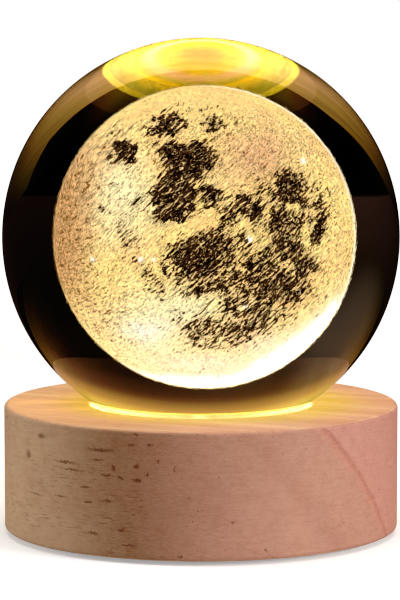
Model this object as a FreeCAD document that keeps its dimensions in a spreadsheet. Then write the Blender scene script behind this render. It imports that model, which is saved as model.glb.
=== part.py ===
# Moon lamp: a solid glass ball with a moon engraved inside it, resting on a
# clear ring in a round wooden base that holds a warm LED, its driver board,
# a power inlet and a push switch.
#
# Millimetres. +Z is up, the origin is on the table under the middle of the
# base, the front is at -Y, and the power inlet and switch are at the back.
import FreeCAD, Part
import math
import os

Vec = FreeCAD.Vector

# ---------------------------------------------------------------- dimensions
DIMS = [
    # the ball and the engraving inside it
    ("ball_radius", 40.0),
    ("ball_centre_height", 59.7),
    ("moon_radius", 20.3),
    ("moon_offset", 0.5),
    # turned wooden base
    ("base_radius", 39.8),
    ("base_underside", 0.8),
    ("base_top", 26.05),
    ("base_edge_round", 0.8),
    ("seat_radius", 22.4),
    ("seat_chamfer", 0.5),
    ("ledge_height", 21.45),
    ("bowl_top_radius", 18.4),
    ("bowl_floor_radius", 11.6),
    ("bowl_floor_height", 17.5),
    ("lens_hole_radius", 10.0),
    ("flange_seat_radius", 12.8),
    ("flange_seat_height", 14.5),
    ("ceiling_height", 13.3),
    ("cavity_radius", 27.5),
    ("rabbet_radius", 34.8),
    ("rabbet_height", 2.8),
    ("slot_half_width", 13.2),
    ("slot_radius", 37.6),
    ("slot_ceiling", 10.2),
    # clear ring that the ball sits on
    ("ring_radius", 20.6),
    ("ring_section", 1.6),
    ("ring_height", 23.25),
    # lens over the LEDs
    ("lens_radius", 9.8),
    ("lens_top", 18.5),
    ("lens_wall", 1.4),
    ("flange_radius", 12.5),
    # round board with the LEDs
    ("led_board_radius", 18.5),
    ("led_board_thick", 1.6),
    ("led_ring_radius", 5.2),
    ("led_count", 6),
    ("led_screw_circle", 15.6),
    ("board_screw_radius", 1.3),
    # driver board, inlet and switch at the back
    ("driver_length", 19.6),
    ("driver_half_width", 12.9),
    ("driver_thick", 1.6),
    ("driver_screw_x", 10.8),
    ("driver_screw_y", 26.9),
    ("driver_edge_radius", 37.2),
    ("port_height", 7.0),
    ("inlet_centre", -6.2),
    ("inlet_width", 8.94),
    ("inlet_tall", 3.2),
    ("inlet_wall", 0.3),
    ("inlet_mouth", 38.1),
    ("inlet_depth", 7.3),
    ("switch_centre", 8.2),
    ("button_radius", 2.4),
    ("button_travel", 0.8),
    ("stem_radius", 1.1),
    ("bezel_half_width", 13.0),
    ("bezel_half_tall", 3.7),
    ("bezel_inner", 37.8),
    ("bezel_outer", 39.65),
    # cover, screws and feet under the base
    ("cover_radius", 34.6),
    ("cover_thick", 2.0),
    ("cover_screw_circle", 31.2),
    ("cover_screw_radius", 1.4),
    ("foot_circle", 28.4),
    ("foot_radius", 4.5),
    ("foot_thick", 1.6),
    ("wire_radius", 0.6),
]

doc = FreeCAD.newDocument("moon_lamp")
sheet = doc.addObject("Spreadsheet::Sheet", "Dims")
for row, (alias, value) in enumerate(DIMS, start=1):
    sheet.set("A%d" % row, alias)
    sheet.set("B%d" % row, repr(value))
    sheet.setAlias("B%d" % row, alias)
doc.recompute()


class Size:
    """A length with its value and the spreadsheet expression that gives it."""

    def __init__(self, value, text):
        self.value, self.text = float(value), text

    @staticmethod
    def of(other):
        return other if isinstance(other, Size) else Size(other, repr(float(other)))

    def __add__(self, other):
        o = Size.of(other)
        return Size(self.value + o.value, "(%s + %s)" % (self.text, o.text))

    def __radd__(self, other):
        return Size.of(other) + self

    def __sub__(self, other):
        o = Size.of(other)
        return Size(self.value - o.value, "(%s - %s)" % (self.text, o.text))

    def __rsub__(self, other):
        return Size.of(other) - self

    def __mul__(self, other):
        o = Size.of(other)
        return Size(self.value * o.value, "(%s * %s)" % (self.text, o.text))

    __rmul__ = __mul__

    def __truediv__(self, other):
        o = Size.of(other)
        return Size(self.value / o.value, "(%s / %s)" % (self.text, o.text))

    def __neg__(self):
        return Size(-self.value, "(0 - %s)" % self.text)


def root(size):
    return Size(math.sqrt(size.value), "sqrt(%s)" % size.text)


class _Sheet:
    def __getattr__(self, name):
        return Size(float(dict(DIMS)[name]), "Dims." + name)


S = _Sheet()


# ------------------------------------------------------------------- helpers
def bind(obj, prop, size):
    size = Size.of(size)
    if size.text.startswith("Dims") or "Dims." in size.text:
        obj.setExpression(prop, size.text)
    else:
        setattr(obj, prop, size.value) if "." not in prop else obj.setExpression(prop, size.text)


def place(obj, at, rotation=None):
    at = [Size.of(a) for a in at]
    obj.Placement = FreeCAD.Placement(
        Vec(*[a.value for a in at]), rotation or FreeCAD.Rotation()
    )
    for axis, a in zip("xyz", at):
        if "Dims." in a.text:
            obj.setExpression("Placement.Base." + axis, a.text)
    return obj


ALONG_Y = FreeCAD.Rotation(Vec(1, 0, 0), -90)
DOWN = FreeCAD.Rotation(Vec(1, 0, 0), 180)


def cylinder(name, radius, length, at=(0, 0, 0), rotation=None):
    o = doc.addObject("Part::Cylinder", name)
    bind(o, "Radius", radius)
    bind(o, "Height", length)
    return place(o, at, rotation)


def cone(name, radius1, radius2, length, at=(0, 0, 0), rotation=None):
    o = doc.addObject("Part::Cone", name)
    bind(o, "Radius1", radius1)
    bind(o, "Radius2", radius2)
    bind(o, "Height", length)
    return place(o, at, rotation)


def ball(name, radius, at=(0, 0, 0)):
    o = doc.addObject("Part::Sphere", name)
    bind(o, "Radius", radius)
    return place(o, at)


def block(name, lx, ly, lz, at):
    """A box with its lowest corner at the given point."""
    o = doc.addObject("Part::Box", name)
    bind(o, "Length", lx)
    bind(o, "Width", ly)
    bind(o, "Height", lz)
    return place(o, at)


def cut(name, base, *tools):
    tool = tools[0] if len(tools) == 1 else fuse(name + "_tools", *tools)
    o = doc.addObject("Part::Cut", name)
    o.Base, o.Tool = base, tool
    return o


def fuse(name, *shapes):
    o = doc.addObject("Part::MultiFuse", name)
    o.Shapes = list(shapes)
    return o


def common(name, a, b):
    o = doc.addObject("Part::Common", name)
    o.Base, o.Tool = a, b
    return o


def group(name, *shapes):
    """Separate solids that share one node."""
    o = doc.addObject("Part::Compound", name)
    o.Links = list(shapes)
    return o


def rounded(name, base, radius, pick):
    """A fillet on the edges of base that pick accepts."""
    doc.recompute()
    o = doc.addObject("Part::Fillet", name)
    o.Base = base
    chosen = [
        (i, radius, radius) for i, e in enumerate(base.Shape.Edges, 1) if pick(e)
    ]
    if not chosen:
        raise RuntimeError(name + ": no edge to round")
    o.Edges = chosen
    return o


def runs_along(edge, axis):
    if not isinstance(edge.Curve, (Part.Line, Part.LineSegment)):
        return False
    d = edge.tangentAt(edge.FirstParameter)
    return abs(abs(d.dot(axis)) - 1) < 1e-6


def label(obj, text):
    obj.Label = text
    return obj


def origin_plane(body, role):
    return next(f for f in body.Origin.OriginFeatures if f.Role == role)


def new_body(name):
    return doc.addObject("PartDesign::Body", name)


def new_sketch(body, name, role, offset=None):
    sk = body.newObject("Sketcher::SketchObject", name)
    sk.AttachmentSupport = [(origin_plane(body, role), "")]
    sk.MapMode = "FlatFace"
    if offset is not None:
        offset = Size.of(offset)
        sk.AttachmentOffset = FreeCAD.Placement(
            Vec(0, 0, offset.value), FreeCAD.Rotation()
        )
        if "Dims." in offset.text:
            sk.setExpression("AttachmentOffset.Base.z", offset.text)
    return sk


def pin_point(sk, geo, vertex, x, y, tag):
    """Holds one vertex of a sketch at x, y from the sketch's origin."""
    import Sketcher

    for axis, size in (("x", Size.of(x)), ("y", Size.of(y))):
        if abs(size.value) < 1e-9:
            sk.addConstraint(
                Sketcher.Constraint("PointOnObject", geo, vertex, -2 if axis == "x" else -1)
            )
            continue
        kind = "DistanceX" if axis == "x" else "DistanceY"
        n = sk.addConstraint(Sketcher.Constraint(kind, -1, 1, geo, vertex, size.value))
        sk.renameConstraint(n, axis + tag)
        if "Dims." in size.text:
            sk.setExpression("Constraints." + axis + tag, size.text)


def closed_profile(sk, points):
    """A closed outline of straight lines through the given points."""
    import Sketcher

    pts = [(Size.of(x), Size.of(y)) for x, y in points]
    n = len(pts)
    for i in range(n):
        a, b = pts[i], pts[(i + 1) % n]
        sk.addGeometry(
            Part.LineSegment(Vec(a[0].value, a[1].value, 0), Vec(b[0].value, b[1].value, 0))
        )
    for i in range(n):
        sk.addConstraint(Sketcher.Constraint("Coincident", i, 2, (i + 1) % n, 1))
    for i, (x, y) in enumerate(pts):
        pin_point(sk, i, 1, x, y, "_%d" % i)


def circles(sk, items):
    """Circles in a sketch: (x, y, radius)."""
    import Sketcher

    for i, (x, y, r) in enumerate(items):
        x, y, r = Size.of(x), Size.of(y), Size.of(r)
        g = sk.addGeometry(Part.Circle(Vec(x.value, y.value, 0), Vec(0, 0, 1), r.value))
        n = sk.addConstraint(Sketcher.Constraint("Radius", g, r.value))
        sk.renameConstraint(n, "radius_%d" % i)
        if "Dims." in r.text:
            sk.setExpression("Constraints.radius_%d" % i, r.text)
        if abs(x.value) < 1e-9 and abs(y.value) < 1e-9:
            sk.addConstraint(Sketcher.Constraint("Coincident", g, 3, -1, 1))
        else:
            pin_point(sk, g, 3, x, y, "_c%d" % i)


def revolve(body, name, sk):
    f = body.newObject("PartDesign::Revolution", name)
    f.Profile = sk
    f.ReferenceAxis = (sk, ["V_Axis"])
    f.Angle = 360.0
    body.Tip = f
    return f


def pad(body, name, sk, length, reverse=False):
    f = body.newObject("PartDesign::Pad", name)
    f.Profile = sk
    bind(f, "Length", length)
    f.Reversed = reverse
    body.Tip = f
    return f


def pocket(body, name, sk, length, reverse=False):
    """A pocket of a set depth, which has to remove something."""
    doc.recompute()
    before = body.Shape.Volume
    f = body.newObject("PartDesign::Pocket", name)
    f.Profile = sk
    f.Type = "Length"
    bind(f, "Length", length)
    f.Reversed = reverse
    body.Tip = f
    doc.recompute()
    if not body.Shape.Volume < before - 1e-3:
        raise RuntimeError(name + " cuts nothing")
    return f


def dress(body, name, kind, base, size, pick):
    """A fillet or chamfer on the edges of base that pick accepts."""
    doc.recompute()
    names = ["Edge%d" % i for i, e in enumerate(base.Shape.Edges, 1) if pick(e)]
    if not names:
        raise RuntimeError(name + ": no edge")
    f = body.newObject("PartDesign::" + kind, name)
    f.Base = (base, names)
    bind(f, "Radius" if kind == "Fillet" else "Size", size)
    body.Tip = f
    return f


def ring_edge(radius, z, tol=0.05):
    """Picks circular edges about the Z axis of that radius at that height."""

    def pick(e):
        c = e.Curve
        if not isinstance(c, Part.Circle):
            return False
        return (
            abs(c.Radius - radius) < tol
            and abs(c.Center.z - z) < tol
            and math.hypot(c.Center.x, c.Center.y) < tol
        )

    return pick


def polar(circle, angles):
    """Points on a circle about Z, as sizes bound to its radius."""
    return [
        (circle * math.cos(math.radians(a)), circle * math.sin(math.radians(a)))
        for a in angles
    ]


parts = []

# ------------------------------------------------------------ the glass ball
# Solid crystal. The engraved zone is the same glass: the ball is cut away
# around it so that each volume is counted once.
ball_zone = ball("ball_blank", S.ball_radius, (0, 0, S.ball_centre_height))
moon_room = ball("moon_room", S.moon_radius, (S.moon_offset, 0, S.ball_centre_height))
parts.append(label(cut("crystal_ball_solid", ball_zone, moon_room), "crystal_ball"))
parts.append(
    label(
        ball("moon_zone", S.moon_radius, (S.moon_offset, 0, S.ball_centre_height)),
        "engraved_moon",
    )
)

# ------------------------------------------------------- ring under the ball
ring = doc.addObject("Part::Torus", "seat_ring_solid")
bind(ring, "Radius1", S.ring_radius)
bind(ring, "Radius2", S.ring_section)
place(ring, (0, 0, S.ring_height))
parts.append(label(ring, "seat_ring"))

# --------------------------------------------------------------- wooden base
# Turned profile: outside, top face, seat for the ring, bowl, lens hole,
# flange seat, cavity and the rabbet for the cover.
wood = new_body("wooden_base_body")
sk = new_sketch(wood, "wood_profile", "XZ_Plane")
closed_profile(
    sk,
    [
        (S.lens_hole_radius, S.bowl_floor_height),
        (S.lens_hole_radius, S.flange_seat_height),
        (S.flange_seat_radius, S.flange_seat_height),
        (S.flange_seat_radius, S.ceiling_height),
        (S.cavity_radius, S.ceiling_height),
        (S.cavity_radius, S.rabbet_height),
        (S.rabbet_radius, S.rabbet_height),
        (S.rabbet_radius, S.base_underside),
        (S.base_radius, S.base_underside),
        (S.base_radius, S.base_top),
        (S.seat_radius + S.seat_chamfer, S.base_top),
        (S.seat_radius, S.base_top - S.seat_chamfer),
        (S.seat_radius, S.ledge_height),
        (S.bowl_top_radius, S.ledge_height),
        (S.bowl_floor_radius, S.bowl_floor_height),
    ],
)
wood_turned = revolve(wood, "wood_turned", sk)
dress(
    wood,
    "wood_rounds",
    "Fillet",
    wood_turned,
    S.base_edge_round,
    lambda e: ring_edge(39.8, 26.05)(e) or ring_edge(39.8, 0.8)(e),
)
wood_rounds = wood.Tip
# slot at the back for the driver board, cut upwards from the rabbet
sk = new_sketch(wood, "slot_outline", "XY_Plane", S.rabbet_height)
closed_profile(
    sk,
    [
        (-S.slot_half_width, 20.0),
        (S.slot_half_width, 20.0),
        (S.slot_half_width, 32.0),
        (-S.slot_half_width, 32.0),
    ],
)
pocket(wood, "slot_inner", sk, S.slot_ceiling - S.rabbet_height, reverse=True)
# pilot holes for the cover screws, the LED board and the driver board
sk = new_sketch(wood, "cover_pilots", "XY_Plane", S.rabbet_height)
circles(sk, [(x, y, 1.0) for x, y in polar(S.cover_screw_circle, (45, 135, 225, 315))])
pocket(wood, "cover_pilot_holes", sk, 7.0, reverse=True)
sk = new_sketch(wood, "led_pilots", "XY_Plane", S.ceiling_height)
circles(sk, [(x, y, 0.9) for x, y in polar(S.led_screw_circle, (30, 150, 270))])
pocket(wood, "led_pilot_holes", sk, 3.6, reverse=True)
sk = new_sketch(wood, "driver_pilots", "XY_Plane", S.slot_ceiling)
circles(sk, [(S.driver_screw_x, S.driver_screw_y, 0.9), (-S.driver_screw_x, S.driver_screw_y, 0.9)])
pocket(wood, "driver_pilot_holes", sk, 4.6, reverse=True)
doc.recompute()
# the outer part of the slot follows the round wall, and the window for the
# bezel goes through it
slot_reach = common(
    "slot_reach",
    block(
        "slot_block",
        S.slot_half_width * 2,
        20.0,
        S.slot_ceiling - 3.2,
        (-S.slot_half_width, 26.0, 3.2),
    ),
    cylinder("slot_round", S.slot_radius, 20.0),
)
window_block = block(
    "window_block",
    S.bezel_half_width * 2 + 0.2,
    10.0,
    S.bezel_half_tall * 2 + 0.2,
    (-S.bezel_half_width - 0.1, 33.0, S.port_height - S.bezel_half_tall - 0.1),
)
window = rounded("window", window_block, 1.6, lambda e: runs_along(e, Vec(0, 1, 0)))
parts.append(label(cut("wooden_base_solid", wood, slot_reach, window), "wooden_base"))

# ----------------------------------------------------------------- LED lens
lens = new_body("led_lens_body")
sk = new_sketch(lens, "lens_profile", "XZ_Plane")
closed_profile(
    sk,
    [
        (0, S.lens_top),
        (0, S.lens_top - S.lens_wall),
        (S.lens_radius - S.lens_wall, S.lens_top - S.lens_wall),
        (S.lens_radius - S.lens_wall, S.ceiling_height),
        (S.flange_radius, S.ceiling_height),
        (S.flange_radius, S.flange_seat_height - 0.05),
        (S.lens_radius, S.flange_seat_height - 0.05),
        (S.lens_radius, S.lens_top),
    ],
)
lens_turned = revolve(lens, "lens_turned", sk)
dress(lens, "lens_round", "Fillet", lens_turned, 1.1, ring_edge(9.8, 18.5))
parts.append(label(lens, "led_lens"))

# ---------------------------------------------------------------- LED board
led_board = new_body("led_board_body")
sk = new_sketch(led_board, "led_board_outline", "XY_Plane", S.ceiling_height - S.led_board_thick)
circles(
    sk,
    [(0, 0, S.led_board_radius)]
    + [(x, y, S.board_screw_radius + 0.15) for x, y in polar(S.led_screw_circle, (30, 150, 270))],
)
pad(led_board, "led_board_pad", sk, S.led_board_thick)
parts.append(label(led_board, "led_board"))

led_solids = []
led_bodies = int(dict(DIMS)["led_count"])
for i in range(led_bodies):
    a = 360.0 / led_bodies * i + 30.0
    # a white package with its yellow phosphor face flush in the top
    pack = block("led_pack_%d" % i, 3.5, 2.8, 0.75, (-1.75, -1.4, 0))
    dimple = cone("led_dimple_%d" % i, 0.9, 1.15, 0.4, (0, 0, 0.45))
    one = cut("led_%d" % i, pack, dimple)
    one.Placement = FreeCAD.Placement(
        Vec(0, 0, dict(DIMS)["ceiling_height"]), FreeCAD.Rotation(Vec(0, 0, 1), a)
    ).multiply(FreeCAD.Placement(Vec(dict(DIMS)["led_ring_radius"], 0, 0), FreeCAD.Rotation()))
    led_solids.append(one)
parts.append(label(group("led_chips_group", *led_solids), "led_chips"))

phosphors = []
for i in range(led_bodies):
    a = 360.0 / led_bodies * i + 30.0
    p = cone("phosphor_%d" % i, 0.88, 1.06, 0.3)
    p.Placement = FreeCAD.Placement(
        Vec(0, 0, dict(DIMS)["ceiling_height"]), FreeCAD.Rotation(Vec(0, 0, 1), a)
    ).multiply(
        FreeCAD.Placement(Vec(dict(DIMS)["led_ring_radius"], 0, 0.45), FreeCAD.Rotation())
    )
    phosphors.append(p)
parts.append(label(group("led_phosphors_group", *phosphors), "led_phosphors"))


def wood_screw(name, at, head_radius, head_thick, shank, length):
    """A pan-head screw pointing up from its head, with a cross recess."""
    x, y, z = at
    head = cylinder(name + "_head", head_radius, head_thick, (x, y, Size.of(z) - head_thick))
    head_round = rounded(
        name + "_head_round",
        head,
        min(0.45, head_thick * 0.45),
        lambda e: isinstance(e.Curve, Part.Circle)
        and abs(e.Curve.Center.z - (Size.of(z).value - head_thick)) < 1e-6,
    )
    body = cylinder(name + "_shank", shank, length, (x, y, z))
    tip = cone(name + "_tip", shank, 0.2, 1.2, (x, y, Size.of(z) + length))
    solid = fuse(name + "_fused", head_round, body, tip)
    arm = head_radius * 1.1
    deep = head_thick * 0.55
    low = Size.of(z) - head_thick - 0.01
    a = block(name + "_slot_a", arm, 0.5, deep, (Size.of(x) - arm / 2, Size.of(y) - 0.25, low))
    b = block(name + "_slot_b", 0.5, arm, deep, (Size.of(x) - 0.25, Size.of(y) - arm / 2, low))
    return cut(name, solid, a, b)


# shanks fill their pilot holes with a hair of room
parts.append(
    label(
        group(
            "led_board_screws_group",
            *[
                wood_screw("led_screw_%d" % i, (x, y, S.ceiling_height - S.led_board_thick), 2.2, 1.2, 0.85, 3.4)
                for i, (x, y) in enumerate(polar(S.led_screw_circle, (30, 150, 270)))
            ]
        ),
        "led_board_screws",
    )
)

# ------------------------------------------------------------- driver board
driver_top = S.slot_ceiling
driver = new_body("driver_board_body")
sk = new_sketch(driver, "driver_outline", "XY_Plane", driver_top - S.driver_thick)
inner_edge = S.driver_edge_radius - S.driver_length
edge_y = root(S.driver_edge_radius * S.driver_edge_radius - S.driver_half_width * S.driver_half_width)
closed_profile(
    sk,
    [
        (-S.driver_half_width, inner_edge),
        (S.driver_half_width, inner_edge),
        (S.driver_half_width, edge_y),
        (0, S.driver_edge_radius),
        (-S.driver_half_width, edge_y),
    ],
)
pad(driver, "driver_pad", sk, S.driver_thick)
sk = new_sketch(driver, "driver_holes", "XY_Plane", driver_top - S.driver_thick)
circles(sk, [(S.driver_screw_x, S.driver_screw_y, 1.15), (-S.driver_screw_x, S.driver_screw_y, 1.15)])
pocket(driver, "driver_screw_holes", sk, S.driver_thick, reverse=True)
parts.append(label(driver, "driver_board"))

under = 10.2 - 1.6  # the driver board's underside, where its parts sit
parts.append(
    label(
        group(
            "driver_screws_group",
            *[
                wood_screw("driver_screw_%d" % i, (x, S.driver_screw_y, driver_top - S.driver_thick), 1.7, 1.1, 0.85, 4.6)
                for i, x in enumerate((S.driver_screw_x, -S.driver_screw_x))
            ]
        ),
        "driver_board_screws",
    )
)


def chip(name, lx, ly, lz, x, y):
    return block(name, lx, ly, lz, (x - lx / 2, y - ly / 2, under - lz))


regulator = rounded(
    "regulator", chip("regulator_block", 4.9, 3.9, 1.5, 4.0, 24.2), 0.2, lambda e: runs_along(e, Vec(0, 0, 1))
)
regulator_legs = [
    block("regulator_leg_%d" % i, 0.42, 1.0, 0.2, (4.0 - 1.905 + 1.27 * (i % 4) - 0.21, 24.2 + (1.95 if i < 4 else -2.95), under - 0.2))
    for i in range(8)
]
parts.append(label(regulator, "driver_chip"))
parts.append(label(group("driver_chip_legs_group", *regulator_legs), "driver_chip_legs"))
parts.append(
    label(
        group(
            "resistors_group",
            chip("resistor_a", 3.1, 1.6, 0.55, -1.6, 28.2),
            chip("resistor_b", 3.1, 1.6, 0.55, -1.6, 25.6),
            chip("resistor_c", 3.1, 1.6, 0.55, -8.0, 22.4),
        ),
        "resistors",
    )
)
can = cylinder("capacitor_can", 2.0, 5.0, (-6.0, 26.0, under - 5.0))
can = rounded("capacitor_round", can, 0.5, lambda e: isinstance(e.Curve, Part.Circle) and e.Curve.Center.z < under - 4)
parts.append(label(can, "capacitor"))

# ------------------------------------------------------------- power inlet
# A flattened metal tube, closed at the back, hanging under the board.
half = S.inlet_tall / 2


def stadium(name, width, tall, length, x, y, z):
    """A flat tube's solid along +Y, its middle at x, z, starting at y."""
    width, tall = Size.of(width), Size.of(tall)
    r = tall / 2
    mid = block(name + "_mid", width - tall, length, tall, (Size.of(x) - (width - tall) / 2, y, Size.of(z) - r))
    left = cylinder(name + "_left", r, length, (Size.of(x) - (width - tall) / 2, y, z), ALONG_Y)
    right = cylinder(name + "_right", r, length, (Size.of(x) + (width - tall) / 2, y, z), ALONG_Y)
    return fuse(name, mid, left, right)


inlet_back = S.inlet_mouth - S.inlet_depth
shell_outer = stadium("shell_outer", S.inlet_width, S.inlet_tall, S.inlet_depth, S.inlet_centre, inlet_back, S.port_height)
shell_inner = stadium(
    "shell_inner",
    S.inlet_width - S.inlet_wall * 2,
    S.inlet_tall - S.inlet_wall * 2,
    S.inlet_depth,
    S.inlet_centre,
    inlet_back + S.inlet_wall,
    S.port_height,
)
shell_tube = cut("shell_tube", shell_outer, shell_inner)
parts.append(label(shell_tube, "power_inlet_shell"))
core_plug = stadium(
    "core_plug",
    S.inlet_width - S.inlet_wall * 2 - 0.06,
    S.inlet_tall - S.inlet_wall * 2 - 0.06,
    1.6,
    S.inlet_centre,
    inlet_back + S.inlet_wall,
    S.port_height,
)
core_tongue = block("core_tongue", 6.7, 5.0, 0.7, (S.inlet_centre - 3.35, inlet_back + S.inlet_wall + 1.5, S.port_height - 0.35))
core_tongue_round = rounded("core_tongue_round", core_tongue, 0.3, lambda e: runs_along(e, Vec(0, 0, 1)))
core = fuse("inlet_core", core_plug, core_tongue_round)
parts.append(label(core, "power_inlet_core"))
contacts = []
for side, z in ((1, 0.35), (-1, -0.35)):
    for k in range(6):
        contacts.append(
            block(
                "contact_%s_%d" % ("top" if side > 0 else "low", k),
                0.45,
                3.6,
                0.08,
                (
                    S.inlet_centre - 2.75 - 0.225 + 1.1 * k,
                    inlet_back + S.inlet_wall + 1.7,
                    S.port_height + (0.35 if side > 0 else -0.35 - 0.08),
                ),
            )
        )
parts.append(label(group("inlet_contacts_group", *contacts), "power_inlet_contacts"))

# ------------------------------------------------------------------- switch
# Square push switch under the board; its stem carries the round button.
switch_face = 35.1
switch_box = block("switch_box", 7.0, 5.5, 4.6, (S.switch_centre - 3.5, switch_face - 5.5, under - 4.6))
switch_soft = rounded("switch_soft", switch_box, 0.3, lambda e: runs_along(e, Vec(0, 1, 0)))
switch_bore = cylinder("switch_bore", S.stem_radius + 0.12, 5.0, (S.switch_centre, switch_face - 4.9, S.port_height), ALONG_Y)
parts.append(label(cut("switch_housing_solid", switch_soft, switch_bore), "switch_housing"))
terminals = [
    block(
        "terminal_%d" % i,
        0.5,
        0.8,
        2.0,
        (S.switch_centre + (-3.5 - 0.5 if i < 3 else 3.5), switch_face - 1.9 - 1.7 * (i % 3), under - 2.0),
    )
    for i in range(6)
]
parts.append(label(group("switch_terminals_group", *terminals), "switch_terminals"))

button = new_body("power_button_body")
sk = new_sketch(button, "button_profile", "XY_Plane")
stem_end = switch_face - 2.6
closed_profile(
    sk,
    [
        (0, stem_end),
        (S.stem_radius - 0.25, stem_end),
        (S.stem_radius - 0.25, stem_end + 0.01),
        (S.stem_radius, stem_end + 0.26),
        (S.stem_radius, 37.0),
        (S.button_radius, 37.0),
        (S.button_radius, 39.7),
        (0, 39.7),
    ],
)
button_turned = revolve(button, "button_turned", sk)
dress(
    button,
    "button_round",
    "Fillet",
    button_turned,
    0.5,
    lambda e: isinstance(e.Curve, Part.Circle)
    and abs(e.Curve.Radius - 2.4) < 0.05
    and abs(e.Curve.Center.y - 39.7) < 0.05,
)
place(button, (S.switch_centre, 0, S.port_height))
parts.append(label(button, "power_button"))

# return spring behind the stem: a coil along Y
doc.recompute()
spring_wire = 0.14
spring_foot = switch_face - 4.9 + 0.03 + spring_wire
spring_length = (stem_end - 0.03 - spring_wire) - spring_foot
coil_radius, coil_turns, coil_steps = 0.78, 5, 12
coil_points = [
    Vec(
        coil_radius * math.cos(2 * math.pi * k / coil_steps),
        coil_radius * math.sin(2 * math.pi * k / coil_steps),
        spring_length * k / (coil_turns * coil_steps),
    )
    for k in range(coil_turns * coil_steps + 1)
]
coil_path = Part.makePolygon(coil_points)
section = Part.Wire(Part.makeCircle(spring_wire, coil_points[0], coil_points[1] - coil_points[0]))
coil = coil_path.makePipeShell([section], True, False, 1)
coil = coil if coil.ShapeType == "Solid" else Part.Solid(coil)
coil_expected = math.pi * spring_wire**2 * coil_path.Length
if abs(coil.Volume / coil_expected - 1) > 0.02:
    raise RuntimeError("spring: volume %.3f, expected %.3f" % (coil.Volume, coil_expected))
spring = doc.addObject("Part::Feature", "return_spring_solid")
spring.Shape = coil
spring.Placement = FreeCAD.Placement(
    Vec(dict(DIMS)["switch_centre"], spring_foot, dict(DIMS)["port_height"]),
    ALONG_Y,
)
parts.append(label(spring, "return_spring"))

# ------------------------------------------------------------------- bezel
# Plastic plate in the window, curved with the wood, with the two openings.
bezel_ring = cut(
    "bezel_ring",
    cylinder("bezel_outside", S.bezel_outer, S.bezel_half_tall * 2 + 2, (0, 0, S.port_height - S.bezel_half_tall - 1)),
    cylinder("bezel_inside", S.bezel_inner, S.bezel_half_tall * 2 + 4, (0, 0, S.port_height - S.bezel_half_tall - 2)),
)
bezel_block = block(
    "bezel_block",
    S.bezel_half_width * 2,
    10.0,
    S.bezel_half_tall * 2,
    (-S.bezel_half_width, 33.0, S.port_height - S.bezel_half_tall),
)
bezel_shape = rounded("bezel_shape", bezel_block, 1.5, lambda e: runs_along(e, Vec(0, 1, 0)))
bezel_plate = common("bezel_plate", bezel_ring, bezel_shape)
bezel_slot = stadium("bezel_slot", S.inlet_width + 0.3, S.inlet_tall + 0.3, 12.0, S.inlet_centre, 32.0, S.port_height)
bezel_hole = cylinder("bezel_hole", S.button_radius + 0.2, 12.0, (S.switch_centre, 32.0, S.port_height), ALONG_Y)
parts.append(label(cut("rear_bezel_solid", bezel_plate, bezel_slot, bezel_hole), "rear_bezel"))


# ------------------------------------------------------------------- wires
def wire_path(points):
    """Straight runs joined by tangent arcs, each as large as its runs allow."""
    pts = [Vec(*p) for p in points]
    edges, start = [], pts[0]
    for i in range(1, len(pts) - 1):
        a, b, c = pts[i - 1], pts[i], pts[i + 1]
        u, v = (a - b), (c - b)
        shorter = min(u.Length, v.Length)
        u.normalize()
        v.normalize()
        turn = math.pi - u.getAngle(v)
        reach = 0.45 * shorter
        radius = reach / math.tan(turn / 2)
        p, q = b + u * reach, b + v * reach
        middle = u + v
        middle.normalize()
        centre = b + middle * math.hypot(reach, radius)
        m = centre - middle * radius
        edges.append(Part.LineSegment(start, p).toShape())
        edges.append(Part.Arc(p, m, q).toShape())
        start = q
        print("wire radius %.2f mm" % radius)
    edges.append(Part.LineSegment(start, pts[-1]).toShape())
    return Part.Wire(edges)


def wire_solid(name, points, radius):
    path = wire_path(points)
    start, ahead = Vec(*points[0]), Vec(*points[1]) - Vec(*points[0])
    section = Part.Wire(Part.makeCircle(radius, start, ahead))
    solid = path.makePipeShell([section], True, False)
    solid = solid if solid.ShapeType == "Solid" else Part.Solid(solid)
    expected = math.pi * radius**2 * path.Length
    if abs(solid.Volume / expected - 1) > 0.02:
        raise RuntimeError("%s: volume %.2f, expected %.2f" % (name, solid.Volume, expected))
    o = doc.addObject("Part::Feature", name)
    o.Shape = solid
    print("%s: %.1f mm long" % (name, path.Length))
    return o


board_low = 13.3 - 1.6  # the LED board's underside
wire_r = dict(DIMS)["wire_radius"]
for side, node in ((1, "lead_red"), (-1, "lead_black")):
    x = 1.9 * side - 1.0
    # down from the driver board, forward over the cover, up to the LED board
    route = [
        (x, 20.1, under),
        (x, 20.1, 7.2),
        (x + 0.3 * side, 19.0, 5.3),
        (x + 0.8 * side, 16.6, 4.3),
        (x + 1.4 * side, 13.6, 4.5),
        (x + 1.8 * side, 11.2, 5.9),
        (x + 1.9 * side, 9.9, 8.0),
        (x + 1.8 * side, 9.5, 9.9),
        (x + 1.8 * side, 9.5, board_low),
    ]
    parts.append(label(wire_solid(node + "_solid", route, wire_r), node))

# ---------------------------------------------------- cover, screws and feet
cover = new_body("base_cover_body")
sk = new_sketch(cover, "cover_outline", "XY_Plane", S.base_underside)
screw_at = polar(S.cover_screw_circle, (45, 135, 225, 315))
circles(sk, [(0, 0, S.cover_radius)] + [(x, y, S.cover_screw_radius + 0.2) for x, y in screw_at])
cover_pad = pad(cover, "cover_pad", sk, S.cover_thick)
foot_at = polar(S.foot_circle, (0, 90, 180, 270))
sk = new_sketch(cover, "foot_recesses", "XY_Plane", S.base_underside)
circles(sk, [(x, y, S.foot_radius + 0.1) for x, y in foot_at])
pocket(cover, "foot_recess_pockets", sk, 0.8, reverse=True)
sk = new_sketch(cover, "screw_recesses", "XY_Plane", S.base_underside)
circles(sk, [(x, y, 2.8) for x, y in screw_at])
pocket(cover, "screw_recess_pockets", sk, 1.2, reverse=True)
doc.recompute()
dress(cover, "cover_chamfer", "Chamfer", cover.Tip, 0.3, ring_edge(34.6, 0.8))
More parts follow.
